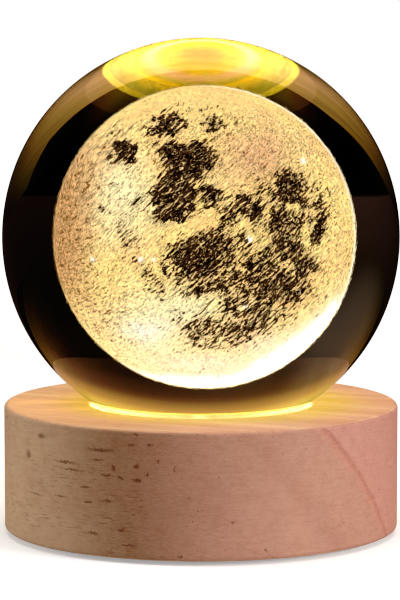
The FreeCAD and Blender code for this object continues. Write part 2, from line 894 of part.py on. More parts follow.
parts.append(label(cover, "base_cover"))

parts.append(
    label(
        group(
            "cover_screws_group",
            *[
                wood_screw("cover_screw_%d" % i, (x, y, S.base_underside + 1.2), 2.5, 1.1, 0.95, 6.2)
                for i, (x, y) in enumerate(screw_at)
            ]
        ),
        "cover_screws",
    )
)

feet = []
for i, (x, y) in enumerate(foot_at):
    foot = cylinder("foot_%d" % i, S.foot_radius, S.foot_thick, (x, y, 0))
    feet.append(
        rounded(
            "foot_round_%d" % i,
            foot,
            0.35,
            lambda e: isinstance(e.Curve, Part.Circle) and abs(e.Curve.Center.z) < 1e-6,
        )
    )
parts.append(label(group("rubber_feet_group", *feet), "rubber_feet"))

# --------------------------------------------------------------- one file each
doc.recompute()
for o in doc.Objects:
    if any(word in o.State for word in ("Invalid", "Error")):
        raise RuntimeError("%s is in state %s" % (o.Name, o.State))
os.makedirs("parts", exist_ok=True)
for o in parts:
    shape = o.Shape
    if shape.isNull() or not shape.isValid() or not shape.Solids:
        raise RuntimeError(o.Label + " has no valid solid")
for old in os.listdir("parts"):
    if old.endswith(".step") and old[:-5] not in {o.Label for o in parts}:
        os.remove(os.path.join("parts", old))
for o in parts:
    o.Shape.exportStep(os.path.join("parts", o.Label + ".step"))
    print("%-22s solids %d  volume %.2f mm3" % (o.Label, len(o.Shape.Solids), o.Shape.Volume))
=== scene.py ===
import math

import bpy
import numpy as np
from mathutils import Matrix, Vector


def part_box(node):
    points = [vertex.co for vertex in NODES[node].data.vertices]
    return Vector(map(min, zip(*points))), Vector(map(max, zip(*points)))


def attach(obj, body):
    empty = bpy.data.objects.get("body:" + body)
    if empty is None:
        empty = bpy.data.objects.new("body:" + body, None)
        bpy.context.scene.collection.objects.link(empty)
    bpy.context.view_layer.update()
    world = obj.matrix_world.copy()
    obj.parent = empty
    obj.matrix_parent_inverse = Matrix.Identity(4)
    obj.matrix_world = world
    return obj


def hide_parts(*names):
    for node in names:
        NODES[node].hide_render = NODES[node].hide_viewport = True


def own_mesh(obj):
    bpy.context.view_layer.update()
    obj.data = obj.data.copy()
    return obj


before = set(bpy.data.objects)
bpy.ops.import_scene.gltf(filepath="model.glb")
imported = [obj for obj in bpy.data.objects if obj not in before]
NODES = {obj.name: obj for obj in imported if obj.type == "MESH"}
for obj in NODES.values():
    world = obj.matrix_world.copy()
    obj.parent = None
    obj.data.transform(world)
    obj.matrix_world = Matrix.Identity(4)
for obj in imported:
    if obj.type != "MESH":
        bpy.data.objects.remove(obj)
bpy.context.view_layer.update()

MM = 0.001

# ------------------------------------------------------------------ measures
BALL_C = np.array([0.0, 0.0, 59.7])
BALL_R = 40.0
MOON_C = np.array([0.5, 0.0, 59.7])
MOON_R = 20.3
GLASS = 1.5168

# --------------------------------------------------------------- camera first
scene = bpy.context.scene
cam_data = bpy.data.cameras.new("camera")
cam_data.sensor_width = 36.0
cam_data.lens = 3458.6 * 36.0 / 600.0
cam = bpy.data.objects.new("camera", cam_data)
scene.collection.objects.link(cam)
scene.camera = cam
TILT = math.radians(6.70)
look = Vector((-0.18, 0.0, 46.87)) * MM
back = Vector((0.0, -math.cos(TILT), math.sin(TILT)))
cam.location = look + back * 0.6985
cam.rotation_mode = "QUATERNION"
cam.rotation_quaternion = (-back).to_track_quat("-Z", "Y")
cam_data.clip_start, cam_data.clip_end = 0.05, 20.0

scene.view_settings.view_transform = "Standard"
scene.view_settings.look = "None"
scene.view_settings.exposure = 0.0
scene.view_settings.gamma = 1.0


def linear(r, g, b):
    """A display colour, 0 to 255, as linear light."""
    out = []
    for c in (r, g, b):
        c /= 255.0
        out.append(c / 12.92 if c <= 0.04045 else ((c + 0.055) / 1.055) ** 2.4)
    return tuple(out)


# ------------------------------------------------------------- node materials
class Net:
    """A material and short ways to add nodes to it."""

    def __init__(self, name):
        self.mat = bpy.data.materials.new(name)
        self.mat.use_nodes = True
        self.tree = self.mat.node_tree
        self.bsdf = self.tree.nodes["Principled BSDF"]
        self._coords = None

    def node(self, kind, **props):
        n = self.tree.nodes.new(kind)
        for k, v in props.items():
            setattr(n, k, v)
        return n

    def put(self, socket, value):
        if isinstance(value, bpy.types.NodeSocket):
            self.tree.links.new(value, socket)
        elif hasattr(socket.default_value, "__len__"):
            v = tuple(value) if hasattr(value, "__len__") else (value,) * 3
            if len(socket.default_value) == 4 and len(v) == 3:
                v = v + (1.0,)
            socket.default_value = v
        else:
            socket.default_value = value

    def set(self, **values):
        for k, v in values.items():
            self.put(self.bsdf.inputs[k.replace("_", " ")], v)
        return self

    @property
    def here(self):
        if self._coords is None:
            self._coords = self.node("ShaderNodeTexCoord").outputs["Object"]
        return self._coords

    def math(self, op, a, b=0.0, clamp=False):
        n = self.node("ShaderNodeMath", operation=op, use_clamp=clamp)
        self.put(n.inputs[0], a)
        self.put(n.inputs[1], b)
        return n.outputs[0]

    def add(self, a, b):
        return self.math("ADD", a, b)

    def mul(self, a, b):
        return self.math("MULTIPLY", a, b)

    def sub(self, a, b):
        return self.math("SUBTRACT", a, b)

    def fit(self, value, lo, hi, to_lo=0.0, to_hi=1.0, smooth=False):
        n = self.node("ShaderNodeMapRange", interpolation_type="SMOOTHSTEP" if smooth else "LINEAR")
        for i, v in enumerate((value, lo, hi, to_lo, to_hi)):
            self.put(n.inputs[i], v)
        return n.outputs[0]

    def mix(self, fac, a, b, blend="MIX"):
        n = self.node("ShaderNodeMix", data_type="RGBA", blend_type=blend)
        self.put(n.inputs[0], fac)
        self.put(n.inputs[6], a)
        self.put(n.inputs[7], b)
        return n.outputs[2]

    def scale_colour(self, colour, by):
        n = self.node("ShaderNodeVectorMath", operation="SCALE")
        self.put(n.inputs[0], colour)
        self.put(n.inputs[3], by)
        return n.outputs[0]

    def mapped(self, scale=(1, 1, 1), rot=(0, 0, 0), loc=(0, 0, 0), vec=None):
        n = self.node("ShaderNodeMapping", vector_type="POINT")
        self.put(n.inputs["Vector"], vec if vec is not None else self.here)
        n.inputs["Location"].default_value = loc
        n.inputs["Rotation"].default_value = rot
        n.inputs["Scale"].default_value = scale
        return n.outputs[0]

    def noise(self, vec=None, scale=100.0, detail=3.0, rough=0.5, twist=0.0):
        n = self.node("ShaderNodeTexNoise")
        self.put(n.inputs["Vector"], vec if vec is not None else self.here)
        n.inputs["Scale"].default_value = scale
        n.inputs["Detail"].default_value = detail
        n.inputs["Roughness"].default_value = rough
        n.inputs["Distortion"].default_value = twist
        return n.outputs[0]

    def cells(self, vec=None, scale=100.0, feature="F1", random=1.0):
        n = self.node("ShaderNodeTexVoronoi", feature=feature)
        self.put(n.inputs["Vector"], vec if vec is not None else self.here)
        n.inputs["Scale"].default_value = scale
        n.inputs["Randomness"].default_value = random
        return n

    def xyz(self, vec=None):
        n = self.node("ShaderNodeSeparateXYZ")
        self.put(n.inputs[0], vec if vec is not None else self.here)
        return n.outputs[0], n.outputs[1], n.outputs[2]

    def attr(self, name):
        n = self.node("ShaderNodeAttribute", attribute_name=name)
        return n.outputs["Fac"]

    def ramp(self, fac, stops):
        n = self.node("ShaderNodeValToRGB")
        self.put(n.inputs[0], fac)
        e = n.color_ramp.elements
        while len(e) < len(stops):
            e.new(0.5)
        for el, (pos, col) in zip(e, stops):
            el.position = pos
            el.color = tuple(col) + (1.0,)
        return n.outputs[0]

    def bump(self, height, strength=0.2, distance=0.0002, normal=None):
        n = self.node("ShaderNodeBump")
        self.put(n.inputs["Height"], height)
        n.inputs["Strength"].default_value = strength
        n.inputs["Distance"].default_value = distance
        if normal is not None:
            self.put(n.inputs["Normal"], normal)
        return n.outputs[0]


def dress(node, mat):
    """Gives a CAD node its material."""
    o = NODES[node]
    if not o.material_slots:
        o.data.materials.append(mat)
    for s in o.material_slots:
        s.material = mat


# --------------------------------------------------------------- mesh helpers
def mesh_object(name, verts, faces, mat, smooth=True):
    """verts in millimetres, faces as one array of equal-length polygons."""
    verts = np.asarray(verts, np.float64) * MM
    faces = np.asarray(faces, np.int32)
    me = bpy.data.meshes.new(name)
    n = faces.shape[1]
    me.vertices.add(len(verts))
    me.vertices.foreach_set("co", verts.astype(np.float32).ravel())
    me.loops.add(faces.size)
    me.loops.foreach_set("vertex_index", faces.ravel())
    me.polygons.add(len(faces))
    me.polygons.foreach_set("loop_start", np.arange(0, faces.size, n, dtype=np.int32))
    me.polygons.foreach_set("use_smooth", np.full(len(faces), smooth))
    me.update(calc_edges=True)
    me.validate()
    me.materials.append(mat)
    o = bpy.data.objects.new(name, me)
    scene.collection.objects.link(o)
    return o


def give(obj, name, values):
    a = obj.data.attributes.new(name, "FLOAT", "POINT")
    a.data.foreach_set("value", np.asarray(values, np.float32))


def cube_sphere(n):
    """Unit sphere of six n by n patches, with shared edges, as quads."""
    t = np.tan(np.linspace(-math.pi / 4, math.pi / 4, n + 1))
    u, v = np.meshgrid(t, t, indexing="ij")
    one = np.ones_like(u)
    sides = [(one, u, v), (-one, v, u), (v, one, u), (u, -one, v), (u, v, one), (v, u, -one)]
    pts, quads, base = [], [], 0
    idx = np.arange((n + 1) ** 2).reshape(n + 1, n + 1)
    for s in sides:
        p = np.stack([c.ravel() for c in s], 1)
        pts.append(p / np.linalg.norm(p, axis=1)[:, None])
        q = np.stack([idx[:-1, :-1], idx[1:, :-1], idx[1:, 1:], idx[:-1, 1:]], -1).reshape(-1, 4)
        quads.append(q + base)
        base += (n + 1) ** 2
    pts, quads = np.concatenate(pts), np.concatenate(quads)
    key = np.round(pts * 1e6).astype(np.int64)
    _, first, inverse = np.unique(key, axis=0, return_index=True, return_inverse=True)
    pts, quads = pts[first], inverse.ravel()[quads]
    a, b, c = pts[quads[:, 0]], pts[quads[:, 1]], pts[quads[:, 2]]
    flip = np.einsum("ij,ij->i", np.cross(b - a, c - a), a) < 0
    quads[flip] = quads[flip][:, ::-1]
    return pts, quads


# ------------------------------------------------------------- smooth 3-D noise
_rng = np.random.default_rng(7)
_perm = _rng.permutation(512)
_grad = _rng.normal(size=(512, 3))
_grad /= np.linalg.norm(_grad, axis=1)[:, None]


def gradient_noise(p):
    """Gradient noise at points p, about -1 to 1."""
    i = np.floor(p).astype(np.int64)
    f = p - i
    w = f * f * f * (f * (f * 6 - 15) + 10)
    total = np.zeros(len(p))
    for dx in (0, 1):
        for dy in (0, 1):
            for dz in (0, 1):
                c = i + (dx, dy, dz)
                h = _perm[(_perm[(_perm[c[:, 0] % 512] + c[:, 1]) % 512] + c[:, 2]) % 512]
                d = np.einsum("ij,ij->i", _grad[h], f - (dx, dy, dz))
                k = (
                    (w[:, 0] if dx else 1 - w[:, 0])
                    * (w[:, 1] if dy else 1 - w[:, 1])
                    * (w[:, 2] if dz else 1 - w[:, 2])
                )
                total += k * d
    return total * 1.6


def layered(p, scale, octaves=4, gain=0.5):
    total, amp, norm = np.zeros(len(p)), 1.0, 0.0
    for k in range(octaves):
        total += amp * gradient_noise(p * scale + 17.3 * k)
        norm += amp
        amp *= gain
        scale *= 2.03
    return total / norm


def smooth(x, lo, hi):
    t = np.clip((x - lo) / (hi - lo), 0, 1)
    return t * t * (3 - 2 * t)


# ------------------------------------------------------------------- the moon
# Dark plains, placed on the disc as it is seen from the front: centre,
# half sizes, turn in degrees and depth of tone. The unit is a hundredth of the
# disc's seen radius, x to the right and y up.
PLAINS = [
    # broad half-dark ground under the central and lower right plains
    (27, -8, 44, 32, 25, 0.55),
    (36, -36, 34, 24, 30, 0.70),
    (40, -22, 13, 9, 30, 0.92),
    (18, -66, 28, 7, 14, 0.52),
    (52, 16, 27, 22, 20, 0.57),
    (-8, 30, 22, 20, 0, 0.30),
    (5, 78, 26, 8, -8, 0.26),
    # the round one on its own
    (-50, 54.7, 10.0, 7.6, 8, 1.05),
    (-57, 50, 5, 3, 30, 0.5),
    # upper chain
    (-22, 72, 12.4, 8.6, 5, 0.95),
    (-3, 81, 14, 3.2, -8, 0.42),
    (6.6, 72.3, 7.4, 6.2, 0, 0.78),
    (8, 61, 7, 5, 20, 0.34),
    (-19.5, 54, 9.5, 8.5, 0, 1.1),
    (-7.4, 49, 15.0, 12.0, 0, 1.24),
    (-10, 40, 10, 7, 0, 1.0),
    (-22, 34.3, 8.5, 6, 20, 0.95),
    (-18.5, 23, 14.2, 15, 0, 1.24),
    (0.5, 28.7, 5, 4, 0, 0.72),
    (7.3, 24.1, 7.6, 7.8, 0, 1.05),
    (11.8, 18, 4.5, 5, 0, 0.85),
    (17.5, 12.8, 6.2, 5.6, 0, 1.0),
    (26.5, 23, 5.7, 4.6, 0, 0.90),
    (25, 17, 8, 5, 0, 0.85),
    (33.3, 15.5, 7.6, 6, 0, 1.05),
    # right cluster
    (56, 29.5, 12, 10.5, 0, 1.0),
    (58, 38, 7, 4, 0, 0.75),
    (46.9, 24, 7.5, 6, 0, 0.66),
    (62.7, 22, 7, 8, 0, 0.86),
    (74, 19.6, 3.2, 2.8, 0, 0.90),
    (69, 12, 3.5, 3, 0, 0.7),
    (75, 4.9, 4.8, 9.5, -8, 0.92),
    (53, 5, 11, 11, 0, 0.90),
    (56, -9, 11, 10, 0, 0.88),
    (64, -20, 9, 10, 0, 0.92),
    # the large central one
    (-1, -17.7, 21, 17, 15, 1.0),
    (-10, -10.5, 9.5, 8, 0, 0.92),
    (11, -4, 14, 10, 25, 0.92),
    (4, -33.5, 15, 7.6, 15, 0.86),
    (17.5, -24, 10, 9, 0, 0.80),
    # lower right
    (47, -33.5, 17.5, 10.5, 35, 0.92),
    (58, -33.5, 10.5, 10.5, 0, 0.95),
    (36, -47, 16, 8.6, 30, 0.88),
    (2, -61, 16.5, 9.6, 12, 0.70),
    (27, -61, 16.5, 8.6, 20, 0.76),
    (45, -54, 10.5, 6.6, 30, 0.66),
    (13, -49.4, 15, 6, 20, 0.55),
    (-14, -52, 8, 6, 0, 0.42),
    # faint chain on the left
    (-34, -27, 19, 4.4, -54, 0.44),
    (-26, -36, 8, 5, -54, 0.46),
    (-48, -4, 8, 9, 30, 0.42),
    (-24.4, -24.9, 2.2, 2.2, 0, 1.0),
    (-41, 21, 6, 2.6, 35, 0.50),
    (-47, 11, 10, 3.2, 40, 0.34),
    (-65, 17, 2.4, 2.4, 0, 0.60),
    (-56, 34, 3.2, 2.0, 20, 0.36),
    (-60, 66, 10, 4, 48, 0.36),
    (-47, 72, 7, 2, 30, 0.42),
    (78, -42, 3, 3, 0, 0.40),
    (83, 30, 2.4, 3, 0, 0.45),
]
# bright gaps inside them
GAPS = [
    (35.6, -2, 6.5, 5, 30, 0.50),
    (48, -17.5, 4, 2.4, 30, 0.30),
    (29, -45.6, 4.5, 2.8, 25, 0.60),
    (-1, -45.5, 12, 3.6, 8, 0.50),
    (56, 20.7, 2.6, 2.2, 0, 0.55),
    (66, 28, 2.2, 2.0, 0, 0.5),
    (24, 5, 7, 4, 20, 0.45),
    (4, 10, 15, 5, 25, 0.60),
    (-6, 62, 12, 3.2, 5, 0.45),
]


def seen_radius(angle):
    """Where on the disc, 0 centre to 1 edge, a point at that angle from the
    line of sight is seen through the ball."""
    rho = np.linspace(0, 1, 2001)
    k = MOON_R / BALL_R
    theta = np.arcsin(rho) + np.arcsin(rho * GLASS * k) - np.arcsin(rho * k)
    return np.interp(angle, theta, rho, right=1.3), theta[-1]


def moon_fields(d):
    """Tone, light and grain at directions d from the moon's middle."""
    sight = np.array([0.0, -math.cos(TILT), math.sin(TILT)])
    up = np.array([0.0, math.sin(TILT), math.cos(TILT)])
    right = np.array([1.0, 0.0, 0.0])
    x, y, c = d @ right, d @ up, d @ sight
    angle = np.arccos(np.clip(c, -1, 1))
    rho, limb = seen_radius(angle)
    flat = np.maximum(np.hypot(x, y), 1e-9)
    sx, sy = 100 * rho * x / flat, 100 * rho * y / flat
    wob = np.stack([layered(d + 3.1, 5.0, 4), layered(d + 9.7, 5.0, 4)], 1)
    fine = np.stack([layered(d + 21.0, 17.0, 3), layered(d + 33.0, 17.0, 3)], 1)
    wx = sx + 5.0 * wob[:, 0] + 3.6 * fine[:, 0]
    wy = sy + 5.0 * wob[:, 1] + 3.6 * fine[:, 1]
    tone = np.zeros(len(d))
    for sign, blobs in ((1, PLAINS), (-1, GAPS)):
        for bx, by, ra, rb, turn, depth in blobs:
            t = math.radians(turn)
            ux = (wx - bx) * math.cos(t) + (wy - by) * math.sin(t)
            uy = -(wx - bx) * math.sin(t) + (wy - by) * math.cos(t)
            q = np.hypot(ux / ra, uy / rb)
            b = depth * (1 - smooth(q, 0.38, 1.62))
            tone = np.maximum(tone, b) if sign > 0 else tone * (1 - b)
    # the far side has only a few small plains
    far = smooth(angle, limb - 0.05, limb + 0.25)
    patchy = smooth(layered(d + 50, 2.6, 4), 0.28, 0.55) * 0.75
    tone = tone * (1 - far) + patchy * far
    # brightest underneath and to the lower right, where the light comes in
    low = d @ (np.array([0.60, 0.16, -0.78]) / np.linalg.norm([0.60, 0.16, -0.78]))
    under = d @ np.array([0.05, 0.30, -0.95])
    glow = 2.6 * smooth(low + 0.05 * wob[:, 0], 0.84, 0.99) + 1.6 * smooth(under + 0.03 * wob[:, 1], 0.80, 0.97)
    glow = glow + 0.12 * smooth(-d[:, 2], 0.35, 0.8)
    # a painted bright rim along the lower right of the moon's edge, as seen from the front
    rim = smooth(angle, limb - 0.26, limb - 0.06) * smooth(0.9 * x + 0.25 * y, 0.15, 0.55) * (1 - smooth(angle, limb + 0.02, limb + 0.95))
    glow = glow + 0.85 * rim
    # a few single bright points: painted glints
    for bx, by, size in ((-71.3, -15.9, 1.4), (-39.1, -15.9, 1.5), (65.2, 47.7, 1.7), (31.0, -3.0, 1.9), (28.5, -45.5, 1.5), (-30.5, -16.0, 1.1)):
        glow = glow + 1.1 * np.exp(-(((sx - bx) ** 2 + (sy - by) ** 2) / size**2)) * (angle < limb)
    glow = glow * (1 - 0.4 * smooth(angle, limb, limb + 0.9))
    # painted shade: browner towards the left edge, away from the light; browner also towards the upper right
    edge = smooth(-0.995 * x + 0.06 * y, 0.70, 1.0) * (1 - smooth(-y, 0.45, 0.8))
    tan = np.clip(1.0 * np.exp(-(((sx - 36) / 32) ** 2 + ((sy - 52) / 24) ** 2)) + 0.5 * np.exp(-(((sx + 70) / 20) ** 2 + ((sy - 45) / 30) ** 2)) + 0.35 * layered(d + 5, 3.0, 3), 0, 1)
    # pale cream patches, paler still towards the lower right as painted light
    cream = np.clip(
        np.exp(-(((sx + 55) / 24) ** 2 + ((sy - 28) / 30) ** 2))
        + 0.8 * np.exp(-(((sx + 32) / 26) ** 2 + ((sy + 58) / 20) ** 2))
        + 0.7 * np.exp(-(((sx + 2) / 30) ** 2 + ((sy + 45) / 12) ** 2))
        + 0.6 * smooth(low, 0.7, 0.9)
        + 0.30 * layered(d + 8, 4.0, 3),
        0,
        1,
    )
    haze = np.exp(-(((sx + 36) / 14) ** 2 + ((sy + 62) / 8) ** 2)) * (0.7 + 0.6 * layered(d + 12, 11.0, 3))
    haze = np.clip(haze + 0.55 * np.exp(-(((sx - 2) / 42) ** 2 + ((sy + 84) / 9) ** 2)) + 0.35 * np.exp(-(((sx - 44) / 16) ** 2 + ((sy + 70) / 8) ** 2)), 0, 1)
    # how close the strokes lie; fewer where the painted light is strong at the lower right
    grain = np.clip(
        0.40
        + 1.2 * edge
        + 0.35 * np.exp(-(((sx + 47) / 14) ** 2 + ((sy - 14) / 16) ** 2))
        + 1.05 * np.exp(-(((sx + 64) / 22) ** 2 + ((sy + 52) / 20) ** 2))
        + 0.45 * np.exp(-(((sx - 30) / 40) ** 2 + ((sy - 45) / 25) ** 2))
        + 0.30 * np.exp(-(((sx - 85) / 14) ** 2 + ((sy + 2) / 30) ** 2))
        - 0.5 * smooth(low, 0.72, 0.9)
        - 0.4 * haze
        - 0.9 * smooth(sy, 70, 92)
        + 0.45 * layered(d + 15, 7.0, 3),
        0,
        1.2,
    )
    return dict(tone=tone, glow=glow, edge=edge, tan=tan, cream=cream, haze=haze, grain=grain, sx=sx, sy=sy)


def craters(d):
    """Relief of the engraving: bowls with raised rims, in millimetres."""
    rng = np.random.default_rng(11)
    height = np.zeros(len(d))
    centres = rng.normal(size=(420, 3))
    centres /= np.linalg.norm(centres, axis=1)[:, None]
    sizes = 0.012 + 0.05 * rng.random(420) ** 3
    for c, s in zip(centres, sizes):
        near = d @ c > math.cos(2.2 * s)
        a = np.arccos(np.clip(d[near] @ c, -1, 1)) / s
        height[near] += s * 1.1 * (np.exp(-((a - 1.0) ** 2) / 0.05) * 0.55 - (1 - smooth(a, 0.2, 1.05)))
    return height


HATCH = math.radians(40)


def moon_material():
    n = Net("engraved_dots")
    tone, glow, edge = n.attr("tone"), n.attr("glow"), n.attr("edge")
    tan, cream, haze, grain = n.attr("tan"), n.attr("cream"), n.attr("haze"), n.attr("grain")

    def spread(value, by):
        return n.mul(n.sub(value, 0.5), by)

    # strokes of the engraving run up to the right
    turned = n.mapped(rot=(0, HATCH, 0))
    steep = n.mapped(rot=(0, HATCH + 0.24, 0))
    stroke = n.noise(n.mapped(scale=(640, 760, 3000), vec=turned), 1.0, 1.0, 0.45)
    stroke2 = n.noise(n.mapped(scale=(1150, 1250, 4300), vec=steep), 1.0, 1.0, 0.5)
    specks = n.noise(None, 3500.0, 1.0, 0.5)
    blotch = n.noise(None, 700.0, 3.0, 0.55)
    slow = n.noise(None, 120.0, 4.0, 0.55)

    base = n.mix(n.fit(slow, 0.35, 0.65), linear(255, 224, 136), linear(250, 204, 128))
    base = n.mix(cream, base, linear(250, 238, 180))
    base = n.mix(n.mul(tan, 0.95), base, linear(222, 172, 122))
    # painted shade: brown towards the left edge
    base = n.mix(n.mul(edge, 0.9), base, linear(198, 146, 98))
    base = n.mix(n.mul(haze, 0.9), base, linear(238, 237, 228))
    # light and shade between single strokes
    lift = n.add(spread(stroke2, 2.4), n.add(spread(specks, 2.0), spread(blotch, 1.1)))
    lift = n.add(1.10, n.mul(lift, n.fit(grain, 0.0, 0.5, 0.45, 1.0)))
    base = n.scale_colour(base, lift)

    # ink: dark strokes, few on bright ground and close together on the plains
    v = n.add(spread(stroke, 5.6), spread(stroke2, 4.4))
    v = n.add(v, spread(specks, 3.2))
    v = n.add(v, spread(blotch, 2.6))
    level = n.add(n.fit(tone, 0.0, 1.0, -1.85, 0.92), n.mul(grain, 0.85))
    ink = n.fit(n.add(v, level), -0.18, 0.22, smooth=True)
    depth = n.fit(tone, 0.02, 0.40, smooth=True)
    dark = n.mix(depth, linear(132, 90, 58), n.mix(n.fit(stroke2, 0.42, 0.66), linear(22, 15, 13), linear(84, 64, 50)))
    ground = n.mix(n.mul(n.fit(tone, 0.35, 1.0), 0.8), base, n.scale_colour(linear(246, 206, 144), n.fit(stroke2, 0.3, 0.7, 0.8, 1.7)))
    # painted light: where the glow is strong the ground turns whiter and brighter and the ink fades
    ground = n.mix(n.mul(n.fit(glow, 0.0, 0.8), 0.85), ground, n.scale_colour((1.0, 0.95, 0.86), n.fit(specks, 0.3, 0.7, 0.88, 1.1)))
    ground = n.scale_colour(ground, n.add(n.mul(glow, 0.35), 0.96))
    shine = n.mix(n.mul(ink, n.sub(1.0, n.mul(n.fit(glow, 0.5, 1.8), 0.95))), ground, dark)
    colour = shine
    # the engraving shows by emission, painted light standing for the LED's light that it scatters
    n.set(Base_Color=n.scale_colour(colour, 0.04), Roughness=0.8, Emission_Color=shine)
    n.bsdf.inputs["Emission Strength"].default_value = 1.0
    n.bsdf.inputs["Specular IOR Level"].default_value = 0.0
    return n.mat


def dots_material():
    n = Net("engraved_bright_dots")
    mottle = n.noise(None, 900.0, 2.0)
    warm = n.mix(n.attr("warm"), linear(196, 148, 92), linear(255, 238, 180))
    # the dots' emission is brightened by the painted glow, standing for the LED's light on the fractures
    shine = n.scale_colour(warm, n.mul(n.add(n.attr("glow"), 1.0), n.fit(mottle, 0.3, 0.7, 0.8, 1.25)))
    n.set(Base_Color=linear(60, 45, 30), Roughness=0.8, Emission_Color=shine)
    n.bsdf.inputs["Emission Strength"].default_value = 1.0
    n.bsdf.inputs["Specular IOR Level"].default_value = 0.0
    return n.mat


pts, quads = cube_sphere(126)
f = moon_fields(pts)
rough = layered(pts + 70, 30.0, 3)
relief = -0.10 * smooth(f["tone"], 0.3, 0.9) + 0.035 * rough + craters(pts)
far_back = smooth(pts[:, 1], 0.36, 0.64)
out_to = (MOON_R + 0.5 * pts[:, 0]) * (1 - far_back) + (MOON_R - 0.48) * far_back
moon = mesh_object(
    "moon_surface",
    BALL_C + pts * (out_to - 0.24 + np.clip(relief, -0.12, 0.06))[:, None],
    quads,
    moon_material(),
)
for name in ("tone", "glow", "edge", "tan", "cream", "haze", "grain"):
    give(moon, name, f[name])
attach(moon, "crystal")
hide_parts("engraved_moon")


def make_dots(count, seed):
    """Needle-shaped fractures in a thin shell over the surface, along the strokes."""
    rng = np.random.default_rng(seed)
    d = rng.normal(size=(count * 3, 3))
    d /= np.linalg.norm(d, axis=1)[:, None]
    g = moon_fields(d)
    # fewer dots in the painted shade at the left edge
    want = 0.62 - 0.25 * g["edge"]
    keep = np.nonzero(rng.random(len(d)) < want)[0][:count]
    d = d[keep]
    n = len(d)
    axis = np.array([math.cos(HATCH), 0.0, math.sin(HATCH)]) + rng.normal(size=(n, 3)) * 0.16
    along = axis - d * np.einsum("ij,ij->i", axis, d)[:, None]
    along /= np.linalg.norm(along, axis=1)[:, None] + 1e-9
    side = np.cross(d, along)
    half = (0.07 + 0.22 * rng.random(n) ** 2)[:, None]
    wide = (0.035 + 0.03 * rng.random(n))[:, None]
    back_ = smooth(d[:, 1], 0.36, 0.64)
    out_to = (MOON_R + 0.5 * d[:, 0]) * (1 - back_) + (MOON_R - 0.48) * back_
    c = BALL_C + d * (out_to - 0.03 - 0.17 * rng.random(n))[:, None]
    p = np.stack(
        [c - along * half, c + side * wide, c + along * half, c - side * wide * 0.6 + d * 0.02], 1
    ).reshape(-1, 3)
    f0 = np.arange(n)[:, None] * 4
    tri = np.concatenate([f0 + k for k in ([[0, 1, 2]], [[0, 2, 3]], [[0, 3, 1]], [[1, 3, 2]])])
    o = mesh_object("moon_bright_dots", p, tri, dots_material(), smooth=False)
    # dots in the painted shade at the left edge are less warm
    warm = np.clip(rng.normal(0.75, 0.3, n) - 0.7 * g["edge"][keep] - 0.20 * smooth(g["tone"][keep], 0.3, 0.8), 0, 1)
    give(o, "warm", np.repeat(warm, 4))
    give(o, "glow", np.repeat(np.clip(g["glow"][keep], 0, 3), 4))
    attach(o, "crystal")
    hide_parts("engraved_moon")
    return o


make_dots(22000, 5)

# ------------------------------------------------------------- the glass ball
pts, quads = cube_sphere(128)
glass = Net("crystal_glass")
glass.set(Base_Color=(1.0, 1.0, 1.0), Roughness=0.0, IOR=GLASS)
glass.bsdf.inputs["Transmission Weight"].default_value = 1.0
glass.bsdf.inputs["Specular Tint"].default_value = (0.28, 0.28, 0.28, 1.0)
ball = mesh_object("glass_ball", BALL_C + pts * BALL_R, quads, glass.mat)
ball.visible_shadow = False
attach(ball, "crystal")
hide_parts("crystal_ball")


# ------------------------------------------------------------------- the wood
# dark pores on the front, listed one by one: angle from the front in degrees,
# height, half length in degrees and half height in millimetres
PORES = [
    (-41.2, 18.7, 4.6, 0.30),
    (-39.0, 17.3, 4.1, 0.20),
    (-29.0, 21.8, 4.3, 0.36),
    (-30.3, 19.8, 2.2, 0.26),
    (-34.3, 14.3, 1.9, 0.26),
    (-27.0, 17.0, 2.0, 0.22),
    (-24.9, 18.5, 0.9, 0.55),
    (-23.0, 16.7, 0.7, 0.34),
    (-18.0, 19.2, 0.9, 0.50),
    (-18.0, 16.3, 1.1, 0.46),
    (-15.1, 17.6, 0.7, 0.40),
    (-11.9, 20.2, 0.6, 0.44),
    (-14.2, 23.4, 1.0, 0.30),
    (-19.5, 23.2, 1.2, 0.30),
    (-18.2, 25.3, 1.0, 0.24),
    (-26.8, 12.0, 1.9, 0.32),
    (-33.3, 11.4, 1.5, 0.22),
    (-43.6, 11.8, 2.2, 0.22),
    (-54.5, 11.2, 2.2, 0.24),
    (-31.7, 5.4, 2.0, 0.26),
    (-22.6, 6.5, 0.8, 0.42),
    (-20.6, 3.6, 2.2, 0.26),
    (-58.6, 18.8, 1.3, 0.80),
    (-51.8, 23.0, 1.7, 0.55),
    (-5.8, 1.8, 0.7, 0.36),
    (8.9, 8.4, 0.6, 0.34),
    (18.4, 2.8, 0.6, 0.40),
    (-7.4, 18.9, 0.4, 0.70),
]


